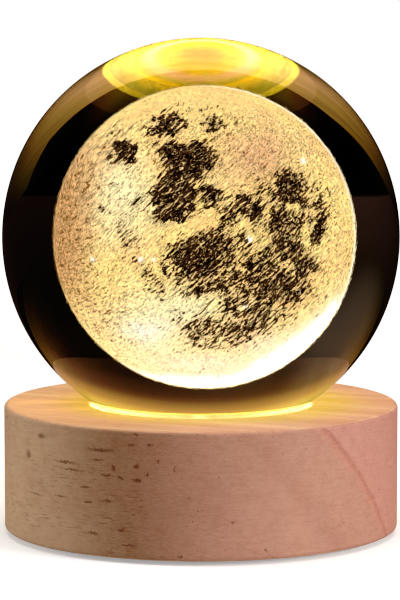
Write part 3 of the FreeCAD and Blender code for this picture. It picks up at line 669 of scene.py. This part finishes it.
def wood_material():
    n = Net("turned_wood")
    x, y, z = n.xyz()
    normal = n.node("ShaderNodeTexCoord").outputs["Normal"]
    flat = n.fit(n.math("ABSOLUTE", n.xyz(normal)[2]), 0.55, 0.85, smooth=True)
    r = n.math("SQRT", n.add(n.mul(x, x), n.mul(y, y)))
    turn = n.math("ARCTAN2", x, n.mul(y, -1.0))
    # coordinates unrolled round the side, in metres
    round_ = n.node("ShaderNodeCombineXYZ")
    n.put(round_.inputs[0], n.mul(turn, 0.0398))
    n.put(round_.inputs[1], n.mul(r, 1.0))
    n.put(round_.inputs[2], z)
    side_vec = round_.outputs[0]
    # the grain of the top runs slantwise from the back left to the front right
    top_vec = n.mapped(rot=(0, 0, math.radians(24)))

    side_fibre = n.noise(n.mapped(scale=(190, 300, 1500), vec=side_vec), 1.0, 4.0, 0.6, 0.5)
    side_fine = n.noise(n.mapped(scale=(900, 900, 3600), vec=side_vec), 1.0, 2.0, 0.6)
    top_fibre = n.noise(n.mapped(scale=(40, 900, 300), vec=top_vec), 1.0, 3.0, 0.6, 0.4)
    top_fine = n.noise(n.mapped(scale=(160, 4200, 900), vec=top_vec), 1.0, 2.0, 0.6)
    fibre = n.add(n.mul(n.sub(1.0, flat), side_fibre), n.mul(flat, top_fibre))
    fine = n.add(n.mul(n.sub(1.0, flat), side_fine), n.mul(flat, top_fine))
    cloud = n.noise(n.mapped(scale=(30, 40, 60)), 1.0, 3.0, 0.55)
    mottle = n.noise(None, 420.0, 4.0, 0.6)

    # olive on the left, pink on the right: partly the wood's own tone and partly painted light, the tint and strength
    # of the light on each side
    across = n.fit(n.add(x, n.mul(n.sub(cloud, 0.5), 0.02)), -0.040, 0.040)
    base = n.ramp(
        across,
        [
            (0.0, linear(199, 165, 131)),
            (0.16, linear(186, 150, 120)),
            (0.30, linear(154, 114, 91)),
            (0.50, linear(174, 124, 106)),
            (0.74, linear(185, 136, 117)),
            (1.0, linear(176, 124, 108)),
        ],
    )
    base = n.mix(n.fit(cloud, 0.42, 0.68, 0.0, 0.35), base, n.mix(0.75, base, linear(190, 140, 112)))
    base = n.mix(n.mul(n.fit(fibre, 0.34, 0.68), n.fit(flat, 0.0, 1.0, 0.20, 0.26)), base, n.mix(0.9, base, linear(206, 184, 170), "MULTIPLY"))
    base = n.mix(n.mul(n.fit(fine, 0.40, 0.72), n.fit(flat, 0.0, 1.0, 0.11, 0.2)), base, linear(236, 194, 164))
    base = n.mix(n.fit(mottle, 0.46, 0.68, 0.0, 0.22), base, n.mix(1.0, base, linear(214, 186, 172), "MULTIPLY"))
    # painted light: the top is made lighter and warmer than the side
    base = n.mix(flat, base, n.mix(0.55, n.scale_colour(base, 1.30), linear(208, 158, 124)))
    # light and dark streaks of the top
    streak = n.noise(n.mapped(scale=(14, 170, 200), vec=top_vec), 1.0, 3.0, 0.55, 0.5)
    base = n.mix(n.mul(flat, n.fit(streak, 0.50, 0.66, 0.0, 0.36)), base, linear(240, 208, 172))
    base = n.mix(n.mul(flat, n.fit(streak, 0.34, 0.48, 0.26, 0.0)), base, linear(176, 124, 92))

    # painted light: the yellow glow from the seat, painted on the top close to it, reaching further out on the right
    painted_seat_glow = n.fit(n.sub(r, n.mul(x, 0.07)), 0.0235, 0.0350, 1.0, 0.0, smooth=True)
    base = n.mix(n.mul(n.mul(flat, painted_seat_glow), 0.85), base, n.mix(n.fit(streak, 0.35, 0.65), linear(204, 172, 66), linear(216, 184, 96)))

    # the edge of one growth ring crosses the right side, bulging to the right
    zz = n.mul(z, 1000.0)
    bend = n.add(69.6, n.add(n.mul(zz, -1.04), n.mul(n.mul(zz, zz), -0.0088)))
    off = n.sub(n.mul(turn, 57.2958), bend)
    off = n.add(off, n.mul(n.sub(n.noise(side_vec, 300.0, 2.0, 0.5), 0.5), 2.6))
    off = n.add(off, n.mul(flat, -400.0))
    past = n.fit(off, -0.4, 1.2, smooth=True)
    near = n.mul(n.fit(off, -6.0, 0.0, smooth=True), n.fit(off, 0.0, 1.0, 1.0, 0.0))
    line = n.mul(n.fit(off, -2.4, -0.2, smooth=True), n.fit(off, 0.2, 1.6, 1.0, 0.0, smooth=True))
    second = n.mul(n.fit(off, 4.6, 6.0, smooth=True), n.fit(off, 6.2, 8.2, 1.0, 0.0, smooth=True))
    inner = n.mul(n.fit(off, -31.0, -26.0, smooth=True), n.fit(off, -25.0, -17.0, 1.0, 0.0, smooth=True))
    base = n.mix(n.mul(second, 0.10), base, linear(150, 92, 82))
    base = n.mix(n.mul(inner, 0.16), base, linear(140, 88, 72))
    base = n.mix(n.mul(near, 0.22), base, linear(214, 128, 112))
    base = n.mix(n.mul(past, 0.14), base, linear(226, 150, 140))
    broken = n.fit(n.noise(side_vec, 900.0, 3.0, 0.65), 0.30, 0.62, 0.35, 1.0)
    base = n.mix(n.mul(n.mul(line, broken), 0.40), base, linear(136, 76, 68))

    # pores: the listed ones, and short dashes or dots elsewhere
    wob = n.node("ShaderNodeCombineXYZ")
    n.put(wob.inputs[0], n.add(n.mul(turn, 57.2958), n.mul(n.sub(n.noise(side_vec, 1600.0, 2.0), 0.5), 3.0)))
    n.put(wob.inputs[1], n.add(zz, n.mul(n.sub(n.noise(side_vec, 2100.0, 2.0), 0.5), 1.0)))
    marks = None
    for phi, height, wide, high in PORES:
        at = n.mapped(scale=(1 / wide, 1 / high, 0), loc=(-phi / wide, -height / high, 0), vec=wob.outputs[0])
        d = n.node("ShaderNodeVectorMath", operation="LENGTH")
        n.put(d.inputs[0], at)
        marks = d.outputs["Value"] if marks is None else n.math("MINIMUM", marks, d.outputs["Value"])
    placed = n.mul(n.fit(marks, 0.15, 1.55, 1.0, 0.0, smooth=True), n.sub(1.0, flat))
    dash = n.noise(n.mapped(scale=(420, 900, 2600), vec=side_vec), 1.0, 1.0, 0.5)
    dashes_at = n.noise(n.mapped(scale=(70, 70, 150), vec=side_vec, loc=(0.4, 0.0, 1.3)), 1.0, 2.0)
    left = n.math("MAXIMUM", n.fit(x, -0.012, -0.002, 1.0, 0.0, smooth=True), n.fit(y, 0.0, 0.02, 0.0, 1.0, smooth=True))
    dashes = n.mul(n.fit(dash, 0.575, 0.73, 0.0, 0.66), n.mul(n.fit(dashes_at, 0.40, 0.56), left))
    dot = n.noise(side_vec, 1900.0, 1.0, 0.5)
    dots_at = n.noise(None, 170.0, 2.0)
    dots = n.mul(n.fit(dot, 0.71, 0.77), n.fit(dots_at, 0.50, 0.60))
    top_dash = n.noise(n.mapped(scale=(330, 2800, 900), vec=top_vec), 1.0, 1.0, 0.5)
    top_marks = n.mul(n.fit(top_dash, 0.68, 0.76), n.mul(flat, 0.7))
    dark = n.mul(n.math("MAXIMUM", placed, n.math("MAXIMUM", n.mul(dashes, n.sub(1.0, flat)), n.mul(dots, n.sub(1.0, flat)))), 1.0)
    dark = n.math("MAXIMUM", dark, top_marks, True)
    base = n.mix(n.mul(dark, 0.70), base, linear(94, 56, 44))
    height = n.add(n.mul(fibre, 0.6), n.mul(fine, 0.4))
    height = n.sub(height, n.mul(dark, 0.8))

    # inside the seat the wood is flooded by the light under the ball, painted on as emission
    seat = n.mul(n.fit(r, 0.02242, 0.02262, 1.0, 0.0), n.fit(z, 0.0171, 0.0174))
    seat = n.mul(seat, n.fit(z, 0.0254, 0.0258, 1.0, 0.0))
    patch = n.noise(n.mapped(scale=(150, 150, 220)), 1.0, 3.0, 0.5, 0.8)
    lit = n.ramp(
        n.fit(patch, 0.30, 0.70),
        [(0.0, (1.0, 0.40, 0.12)), (0.35, (1.0, 0.48, 0.050)), (0.65, (1.0, 0.56, 0.015)), (1.0, (1.0, 0.68, 0.06))],
    )
    lit = n.mix(0.6, lit, n.ramp(n.fit(r, 0.0139, 0.0168), [(0.0, (1.0, 0.80, 0.07)), (0.35, (1.0, 0.62, 0.02)), (0.7, (1.0, 0.50, 0.035)), (1.0, (1.0, 0.48, 0.22))]))
    lit = n.mix(n.fit(r, 0.0172, 0.0190), lit, (1.0, 0.74, 0.05))
    power = n.mul(n.fit(r, 0.0139, 0.0166, 3.9, 21.0), n.fit(r, 0.0170, 0.0188, 1.0, 0.42))
    power = n.mul(power, n.mul(n.fit(patch, 0.30, 0.70, 0.88, 1.12), seat))
    n.set(
        Base_Color=base,
        Roughness=n.fit(fibre, 0.3, 0.7, 0.50, 0.66),
        Normal=n.bump(height, 0.35, 0.00008),
        Emission_Color=n.scale_colour(lit, power),
    )
    n.bsdf.inputs["Emission Strength"].default_value = 1.0
    n.bsdf.inputs["Specular IOR Level"].default_value = 0.35
    return n.mat


dress("wooden_base", wood_material())

# ------------------------------------------------------------ the clear parts
# the ring glows by emission, painted light from the LED: dimmer at the very front and towards the sides, brightest
# between, wavy, and dimmer on its inner edge; its lower and inner part glows in a duller colour
ring = Net("clear_silicone")
haze = ring.noise(None, 900.0, 3.0)
ring_x, ring_y, ring_z = ring.xyz()
along = ring.math("ARCTAN2", ring_x, ring.mul(ring_y, -1.0))
# a painted glint on the ring just at the front
glint = ring.fit(ring.math("ABSOLUTE", ring.add(along, 0.01)), 0.015, 0.12, 1.0, 0.0, smooth=True)
ends = ring.fit(ring.math("ABSOLUTE", along), 0.85, 1.40, 1.0, 0.24, smooth=True)
front = ring.mul(ends, ring.fit(ring.math("ABSOLUTE", along), 0.25, 0.95, 0.66, 0.95, smooth=True))
waves = ring.fit(ring.noise(None, 180.0, 2.0), 0.35, 0.65, 0.75, 1.2)
ring_r = ring.math("SQRT", ring.add(ring.mul(ring_x, ring_x), ring.mul(ring_y, ring_y)))
below = ring.math("MAXIMUM", ring.fit(ring_z, 0.02448, 0.02466, 1.0, 0.0), ring.fit(ring_r, 0.0204, 0.0207, 1.0, 0.0))
front = ring.mul(front, ring.fit(ring_r, 0.0205, 0.0210, 0.50, 1.0, smooth=True))
ring.set(
    Base_Color=ring.mix(ring.fit(haze, 0.35, 0.65), linear(255, 214, 120), linear(255, 232, 160)),
    Roughness=0.25,
    Emission_Color=ring.scale_colour(
        ring.mix(
            ring.sub(1.0, below),
            ring.mix(ring.fit(haze, 0.35, 0.65), (0.76, 0.54, 0.040), (0.76, 0.63, 0.075)),
            (0.52, 0.39, 0.28),
        ),
        ring.mul(
            ring.fit(haze, 0.35, 0.65, 0.85, 1.15),
            ring.add(
                ring.mul(below, 0.95),
                ring.mul(ring.sub(1.0, below), ring.mul(waves, ring.add(front, ring.mul(glint, 1.2)))),
            ),
        ),
    ),
)
ring.bsdf.inputs["Emission Strength"].default_value = 7.5
dress("seat_ring", ring.mat)

lens = Net("frosted_lens")
frost = lens.noise(None, 2600.0, 3.0)
x, y, z = lens.xyz()
centre = lens.math("SQRT", lens.add(lens.mul(x, x), lens.mul(y, y)))
lens.set(
    Base_Color=linear(250, 240, 215),
    Roughness=0.45,
    Emission_Color=lens.mix(lens.fit(centre, 0.002, 0.0095), (1.0, 0.80, 0.14), (1.0, 0.62, 0.05)),
    Normal=lens.bump(frost, 0.2, 0.0001),
)
lens.bsdf.inputs["Emission Strength"].default_value = 20.0
dress("led_lens", lens.mat)


# ------------------------------------------------ metals, plastics and boards
def plastic(name, colour, rough=0.5, grain=2400.0, bump=0.25, spread=0.12, spec=0.5):
    n = Net(name)
    fine = n.noise(None, grain, 3.0, 0.6)
    slow = n.noise(None, 90.0, 3.0, 0.5)
    c = linear(*colour)
    lighter = tuple(min(1.0, v * 1.5 + 0.012) for v in c)
    base = n.mix(n.fit(slow, 0.3, 0.7, 0.0, spread), c, lighter)
    base = n.mix(n.fit(fine, 0.45, 0.75, 0.0, spread), base, lighter)
    n.set(Base_Color=base, Roughness=n.fit(slow, 0.3, 0.7, rough - 0.06, rough + 0.08), Normal=n.bump(fine, bump, 0.00004))
    n.bsdf.inputs["Specular IOR Level"].default_value = spec
    return n.mat


def metal(name, colour, rough=0.3, along=(200, 4000, 4000), bump=0.12):
    n = Net(name)
    brushed = n.noise(n.mapped(scale=along), 1.0, 3.0, 0.6)
    spots = n.noise(None, 700.0, 4.0, 0.6)
    c = linear(*colour)
    base = n.mix(n.fit(spots, 0.35, 0.7, 0.0, 0.35), c, tuple(v * 0.62 for v in c))
    n.set(
        Base_Color=base,
        Roughness=n.fit(brushed, 0.3, 0.7, rough - 0.08, rough + 0.14),
        Normal=n.bump(brushed, bump, 0.00002),
    )
    n.bsdf.inputs["Metallic"].default_value = 1.0
    return n.mat


def board(name, colour, mask, track):
    """Solder mask over etched copper, with lighter tracks showing through."""
    n = Net(name)
    grid = n.cells(n.mapped(scale=(1, 1, 0.1)), 300.0, feature="DISTANCE_TO_EDGE", random=0.35)
    lines = n.fit(grid.outputs["Distance"], 0.04, 0.09, 1.0, 0.0)
    weave = n.noise(n.mapped(scale=(1, 1, 0.2)), 2500.0, 2.0)
    c = linear(*colour)
    base = n.mix(n.mul(lines, mask), c, linear(*track))
    base = n.mix(n.fit(weave, 0.4, 0.7, 0.0, 0.12), base, tuple(v * 0.6 for v in c))
    n.set(Base_Color=base, Roughness=n.fit(lines, 0, 1, 0.42, 0.32), Normal=n.bump(lines, 0.2, 0.00003))
    return n.mat


dress("led_board", board("white_board", (232, 232, 226), 0.12, (214, 214, 206)))
dress("driver_board", board("green_board", (28, 92, 56), 0.5, (52, 128, 82)))
dress("led_chips", plastic("led_package", (240, 238, 228), 0.45))
dress("driver_chip", plastic("chip_epoxy", (30, 30, 32), 0.55, 5000.0))
dress("resistors", plastic("resistor_film", (26, 26, 30), 0.4, 4200.0))
dress("power_inlet_core", plastic("inlet_plastic", (22, 22, 24), 0.45, 4000.0))
dress("switch_housing", plastic("switch_plastic", (34, 34, 37), 0.5, 3600.0))
dress("power_button", plastic("button_plastic", (30, 30, 32), 0.32, 5200.0, 0.1))
dress("rear_bezel", plastic("bezel_plastic", (32, 31, 30), 0.55, 4800.0, 0.4))
dress("base_cover", plastic("cover_plastic", (36, 33, 31), 0.6, 3800.0, 0.5))
dress("rubber_feet", plastic("soft_rubber", (24, 24, 24), 0.8, 5200.0, 0.5, spec=0.25))
dress("lead_red", plastic("red_insulation", (176, 28, 22), 0.35, 2600.0))
dress("lead_black", plastic("black_insulation", (20, 20, 21), 0.35, 2600.0))
zinc = metal("zinc_plate", (178, 178, 176), 0.32)
for part in ("led_board_screws", "driver_board_screws", "cover_screws"):
    dress(part, zinc)
dress("driver_chip_legs", metal("tin_plate", (200, 200, 202), 0.3))
dress("switch_terminals", metal("tin_plate_terminals", (196, 196, 198), 0.3))
dress("capacitor", metal("drawn_can", (186, 190, 198), 0.28, (3000, 3000, 300)))
dress("power_inlet_shell", metal("nickel_plate", (196, 192, 186), 0.26, (3000, 400, 3000)))
dress("power_inlet_contacts", metal("gold_flash", (226, 178, 88), 0.25, (3000, 400, 3000)))
phosphor = Net("phosphor_gel")
grainy = phosphor.noise(None, 6000.0, 2.0)
phosphor.set(
    Base_Color=phosphor.mix(phosphor.fit(grainy, 0.35, 0.7), linear(250, 208, 60), linear(236, 180, 40)),
    Roughness=0.35,
    Emission_Color=(1.0, 0.62, 0.12),
)
phosphor.bsdf.inputs["Emission Strength"].default_value = 20.0
dress("led_phosphors", phosphor.mat)

# return spring: a round-wire coil of five turns, fixed to the base
lo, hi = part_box("return_spring")
axis_x, axis_z = (lo.x + hi.x) / 2 / MM, (lo.z + hi.z) / 2 / MM
y0, y1 = lo.y / MM, hi.y / MM
turns, steps, sides, wire, coil = 5, 36, 10, 0.14, 0.78
t = np.linspace(0, 1, turns * steps + 1)
a = 2 * math.pi * turns * t
centre = np.stack([axis_x + coil * np.cos(a), y0 + wire + (y1 - y0 - 2 * wire) * t, axis_z + coil * np.sin(a)], 1)
tangent = np.gradient(centre, axis=0)
tangent /= np.linalg.norm(tangent, axis=1)[:, None]
out = np.stack([np.cos(a), 0 * a, np.sin(a)], 1)
out -= tangent * np.einsum("ij,ij->i", out, tangent)[:, None]
out /= np.linalg.norm(out, axis=1)[:, None]
other = np.cross(tangent, out)
b = np.linspace(0, 2 * math.pi, sides, endpoint=False)
tube = centre[:, None] + wire * (out[:, None] * np.cos(b)[None, :, None] + other[:, None] * np.sin(b)[None, :, None])
rows, n_rows = np.arange(len(t)), len(t)
quad = []
for i in range(n_rows - 1):
    for j in range(sides):
        k = (j + 1) % sides
        quad.append((i * sides + j, i * sides + k, (i + 1) * sides + k, (i + 1) * sides + j))
spring = mesh_object("spring_coil", tube.reshape(-1, 3), quad, metal("spring_wire", (180, 180, 184), 0.25))
caps = bpy.data.meshes.new("spring_caps")
import bmesh

bm = bmesh.new()
bm.from_mesh(spring.data)
bmesh.ops.holes_fill(bm, edges=[e for e in bm.edges if e.is_boundary], sides=0)
bmesh.ops.recalc_face_normals(bm, faces=bm.faces)
bm.to_mesh(spring.data)
bm.free()
bpy.data.meshes.remove(caps)
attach(spring, "base")
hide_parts("return_spring")
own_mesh(spring)

# ------------------------------------------------------- floor, world, lights
def flat_sheet(name, outline, z, mat):
    pts = np.array([(0.0, 0.0, z)] + [(px, py, z) for px, py in outline])
    k = len(outline)
    o = mesh_object(name, pts, [(0, 1 + i, 1 + (i + 1) % k) for i in range(k)], mat, smooth=False)
    return o


ang = np.linspace(0, 2 * math.pi, 96, endpoint=False)
n = Net("pale_floor")
x, y, z = n.xyz()
far = n.fit(n.math("SQRT", n.add(n.mul(x, x), n.mul(y, y))), 0.06, 0.34, smooth=True)
seen = n.node("ShaderNodeLightPath").outputs["Is Camera Ray"]
n.set(
    Base_Color=n.mix(far, (0.80, 0.80, 0.80), (0.0, 0.0, 0.0)),
    Roughness=0.9,
    Emission_Color=n.scale_colour(n.mix(far, (0.34, 0.34, 0.34), (1.0, 1.0, 1.0)), seen),
)
n.bsdf.inputs["Emission Strength"].default_value = 1.0
n.bsdf.inputs["Specular IOR Level"].default_value = 0.0
n.mat.cycles.emission_sampling = "NONE"
floor = flat_sheet("floor", [(6000 * math.cos(a), 6000 * math.sin(a)) for a in ang], -0.02, n.mat)
floor.visible_glossy = False
floor.visible_transmission = False

# the dim wooden table and the dark room that only the glass shows; the table is a glowing sheet, with the lamp's light
# painted on it as emission, falling off away from the lamp
n = Net("dim_table")
x, y, z = n.xyz()
r = n.math("SQRT", n.add(n.mul(x, x), n.mul(y, y)))
painted_light_falloff = n.math("POWER", n.math("DIVIDE", 0.100, n.math("MAXIMUM", r, 0.045)), 2.7)
hue = n.ramp(n.fit(r, 0.06, 0.20), [(0.0, (0.34, 0.17, 0.085)), (0.25, (0.33, 0.18, 0.060)), (0.6, (0.33, 0.20, 0.05)), (1.0, (0.33, 0.23, 0.05))])
# painted shade: dimmer towards the front, and a painted shadow close to the base
painted_light_falloff = n.mul(painted_light_falloff, n.mul(n.fit(y, 0.0, 0.055, 0.25, 1.0), n.fit(r, 0.050, 0.082, 0.12, 1.0, smooth=True)))
grain = n.noise(n.mapped(scale=(12, 190, 1)), 1.0, 3.0)
n.set(
    Base_Color=(0.0, 0.0, 0.0),
    Roughness=1.0,
    Emission_Color=n.scale_colour(hue, n.mul(painted_light_falloff, n.fit(grain, 0.3, 0.7, 0.8, 1.2))),
)
n.bsdf.inputs["Emission Strength"].default_value = 1.0
n.bsdf.inputs["Specular IOR Level"].default_value = 0.0
n.mat.cycles.emission_sampling = "NONE"
edge_line = [(-600, 125), (-171, 114), (-93, 104), (-54, 101), (-28, 95), (0, 94.5), (30, 96), (51, 101), (76, 108), (120, 135), (159, 160), (307, 178), (600, 190)]
table = flat_sheet("dim_table", edge_line[::-1] + [(-900, -200), (-600, -900), (600, -900), (900, -200)], -0.06, n.mat)
table.visible_camera = False
table.visible_diffuse = False
table.visible_shadow = False

world = bpy.data.worlds.new("studio")
scene.world = world
world.use_nodes = True
wt = world.node_tree
for node in list(wt.nodes):
    wt.nodes.remove(node)
W = wt.nodes.new
path = W("ShaderNodeLightPath")
coord = W("ShaderNodeTexCoord")
sep = W("ShaderNodeSeparateXYZ")
wt.links.new(coord.outputs["Generated"], sep.inputs[0])
mapz = W("ShaderNodeMapRange")
mapz.inputs[1].default_value, mapz.inputs[2].default_value = -1.0, 1.0
wt.links.new(sep.outputs[2], mapz.inputs[0])
dark = W("ShaderNodeValToRGB")
wt.links.new(mapz.outputs[0], dark.inputs[0])
stops = [
    (0.0, (0.0006, 0.0004, 0.0003)),
    (0.378, (0.0006, 0.0004, 0.0003)),
    (0.382, (0.050, 0.030, 0.025)),
    (0.50, (0.034, 0.022, 0.016)),
    (0.60, (0.024, 0.017, 0.009)),
]
while len(dark.color_ramp.elements) < len(stops):
    dark.color_ramp.elements.new(0.5)
for el, (pos, col) in zip(dark.color_ramp.elements, stops):
    el.position, el.color = pos, col + (1.0,)
# one side of the room is darker
sideways = W("ShaderNodeMapRange")
for i, v in enumerate((-0.45, 0.35, 1.0, 0.42), 1):
    sideways.inputs[i].default_value = v
wt.links.new(sep.outputs[0], sideways.inputs[0])
dim = W("ShaderNodeVectorMath")
dim.operation = "SCALE"
wt.links.new(dark.outputs[0], dim.inputs[0])
wt.links.new(sideways.outputs[0], dim.inputs[3])
# high up behind the lamp the room is lit warm
warm = W("ShaderNodeValToRGB")
wt.links.new(mapz.outputs[0], warm.inputs[0])
stops = [
    (0.0, (0.0, 0.0, 0.0)),
    (0.735, (0.0, 0.0, 0.0)),
    (0.787, (0.035, 0.016, 0.010)),
    (0.804, (0.085, 0.034, 0.020)),
    (0.821, (0.24, 0.110, 0.042)),
    (0.847, (0.50, 0.24, 0.070)),
    (0.869, (0.85, 0.48, 0.09)),
    (0.890, (1.0, 0.74, 0.12)),
]
while len(warm.color_ramp.elements) < len(stops):
    warm.color_ramp.elements.new(0.5)
for el, (pos, col) in zip(warm.color_ramp.elements, stops):
    el.position, el.color = pos, col + (1.0,)
behind = W("ShaderNodeMapRange")
for i, v in enumerate((0.05, 0.35, 0.0, 1.0), 1):
    behind.inputs[i].default_value = v
wt.links.new(sep.outputs[1], behind.inputs[0])
warm_at = W("ShaderNodeVectorMath")
warm_at.operation = "SCALE"
wt.links.new(warm.outputs[0], warm_at.inputs[0])
wt.links.new(behind.outputs[0], warm_at.inputs[3])
# and there is a grey haze at its left
towards = W("ShaderNodeVectorMath")
towards.operation = "DOT_PRODUCT"
towards.inputs[1].default_value = (-0.644, 0.667, 0.375)
wt.links.new(coord.outputs["Generated"], towards.inputs[0])
grey_at = W("ShaderNodeMapRange")
grey_at.interpolation_type = "SMOOTHSTEP"
for i, v in enumerate((0.93, 0.998, 0.0, 1.0), 1):
    grey_at.inputs[i].default_value = v
wt.links.new(towards.outputs["Value"], grey_at.inputs[0])
grey = W("ShaderNodeVectorMath")
grey.operation = "SCALE"
grey.inputs[0].default_value = (0.050, 0.042, 0.036)
wt.links.new(grey_at.outputs[0], grey.inputs[3])
sums = []
for part in (warm_at, grey):
    one = W("ShaderNodeVectorMath")
    one.operation = "ADD"
    wt.links.new((sums[-1] if sums else dim).outputs[0], one.inputs[0])
    wt.links.new(part.outputs[0], one.inputs[1])
    sums.append(one)
dim = sums[-1]
bg_dark, bg_cam, bg_soft = W("ShaderNodeBackground"), W("ShaderNodeBackground"), W("ShaderNodeBackground")
wt.links.new(dim.outputs[0], bg_dark.inputs[0])
bg_cam.inputs[0].default_value = (1.0, 1.0, 1.0, 1.0)
bg_soft.inputs[0].default_value = (1.0, 0.97, 0.94, 1.0)
bg_soft.inputs[1].default_value = 0.12
m1, m2, out = W("ShaderNodeMixShader"), W("ShaderNodeMixShader"), W("ShaderNodeOutputWorld")
wt.links.new(path.outputs["Is Diffuse Ray"], m1.inputs[0])
wt.links.new(bg_dark.outputs[0], m1.inputs[1])
wt.links.new(bg_soft.outputs[0], m1.inputs[2])
wt.links.new(path.outputs["Is Camera Ray"], m2.inputs[0])
wt.links.new(m1.outputs[0], m2.inputs[1])
wt.links.new(bg_cam.outputs[0], m2.inputs[2])
wt.links.new(m2.outputs[0], out.inputs[0])


def area(name, turn, rise, away, size, level, colour):
    """A round soft light. turn is from the front towards the right, and level
    is the radiance it gives a white sheet that faces it at the lamp."""
    d = bpy.data.lights.new(name, "AREA")
    d.shape, d.size, d.energy, d.color = "DISK", size, level * math.pi**2 * away**2, colour
    o = bpy.data.objects.new(name, d)
    scene.collection.objects.link(o)
    t, e = math.radians(turn), math.radians(rise)
    aim = Vector((math.sin(t) * math.cos(e), -math.cos(t) * math.cos(e), math.sin(e)))
    o.location = Vector((0, 0, 0.02)) + aim * away
    o.rotation_mode = "QUATERNION"
    o.rotation_quaternion = (-aim).to_track_quat("-Z", "Y")
    o.visible_camera = False
    o.visible_transmission = False
    o.visible_glossy = False
    return o


area("key", 60, 16, 1.0, 0.45, 0.86, (1.0, 0.99, 0.97))
area("left_fill", -97, 14, 1.0, 0.45, 0.44, (1.0, 1.0, 1.0))
area("overhead", 20, 84, 0.9, 0.8, 0.66, (1.0, 0.99, 0.98))


def glow_ring(name, radius, z, count, watts, soft):
    """What the glass lets out over the seat, as a ring of small soft lights."""
    for i in range(count):
        a = 2 * math.pi * (i + 0.5) / count
        d = bpy.data.lights.new("%s_%d" % (name, i), "POINT")
        d.energy, d.color, d.shadow_soft_size = watts / count, (1.0, 0.80, 0.20), soft
        o = bpy.data.objects.new("%s_%d" % (name, i), d)
        scene.collection.objects.link(o)
        o.location = (radius * math.cos(a), radius * math.sin(a), z)
        o.visible_camera = o.visible_transmission = o.visible_glossy = False
        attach(o, "base")


glow_ring("seat_glow", 0.0205, 0.0300, 24, 0.034, 0.0020)
glow_ring("high_glow", 0.0150, 0.0340, 8, 0.016, 0.006)

for i, (px, py, watts) in enumerate(((-22.6, -7.5, 0.0050), (-24.0, -2.0, 0.0062), (-23.6, 3.5, 0.0040), (24.0, -3.0, 0.0030))):
    d = bpy.data.lights.new("side_glow_%d" % i, "POINT")
    d.energy, d.color, d.shadow_soft_size = watts, (1.0, 0.86, 0.22), 0.002
    o = bpy.data.objects.new("side_glow_%d" % i, d)
    scene.collection.objects.link(o)
    o.location = (px * MM, py * MM, 0.0298)
    o.visible_camera = o.visible_transmission = o.visible_glossy = False
    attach(o, "base")

scene.cycles.max_bounces = 16
scene.cycles.transmission_bounces = 14
scene.cycles.glossy_bounces = 8
scene.cycles.diffuse_bounces = 4
scene.cycles.filter_width = 1.15

# a little bloom round the brightest light, and firm blacks
scene.use_nodes = True
comp = scene.node_tree
for node in list(comp.nodes):
    comp.nodes.remove(node)
layers = comp.nodes.new("CompositorNodeRLayers")
bloom = comp.nodes.new("CompositorNodeGlare")
bloom.glare_type, bloom.quality = "BLOOM", "HIGH"
for name, value in (("Threshold", 1.25), ("Smoothness", 0.15), ("Strength", 0.10), ("Saturation", 1.0), ("Size", 0.2), ("Clamp", True), ("Maximum", 3.0)):
    bloom.inputs[name].default_value = value
curve = comp.nodes.new("CompositorNodeCurveRGB")
points = curve.mapping.curves[3].points
for px, py in ((0.02, 0.004), (0.05, 0.024), (0.09, 0.073), (0.14, 0.134), (0.30, 0.30)):
    points.new(px, py)
for point in points:
    point.handle_type = "AUTO_CLAMPED"
curve.mapping.update()
final = comp.nodes.new("CompositorNodeComposite")
comp.links.new(layers.outputs["Image"], bloom.inputs["Image"])
comp.links.new(bloom.outputs["Image"], curve.inputs["Image"])
comp.links.new(curve.outputs["Image"], final.inputs["Image"])
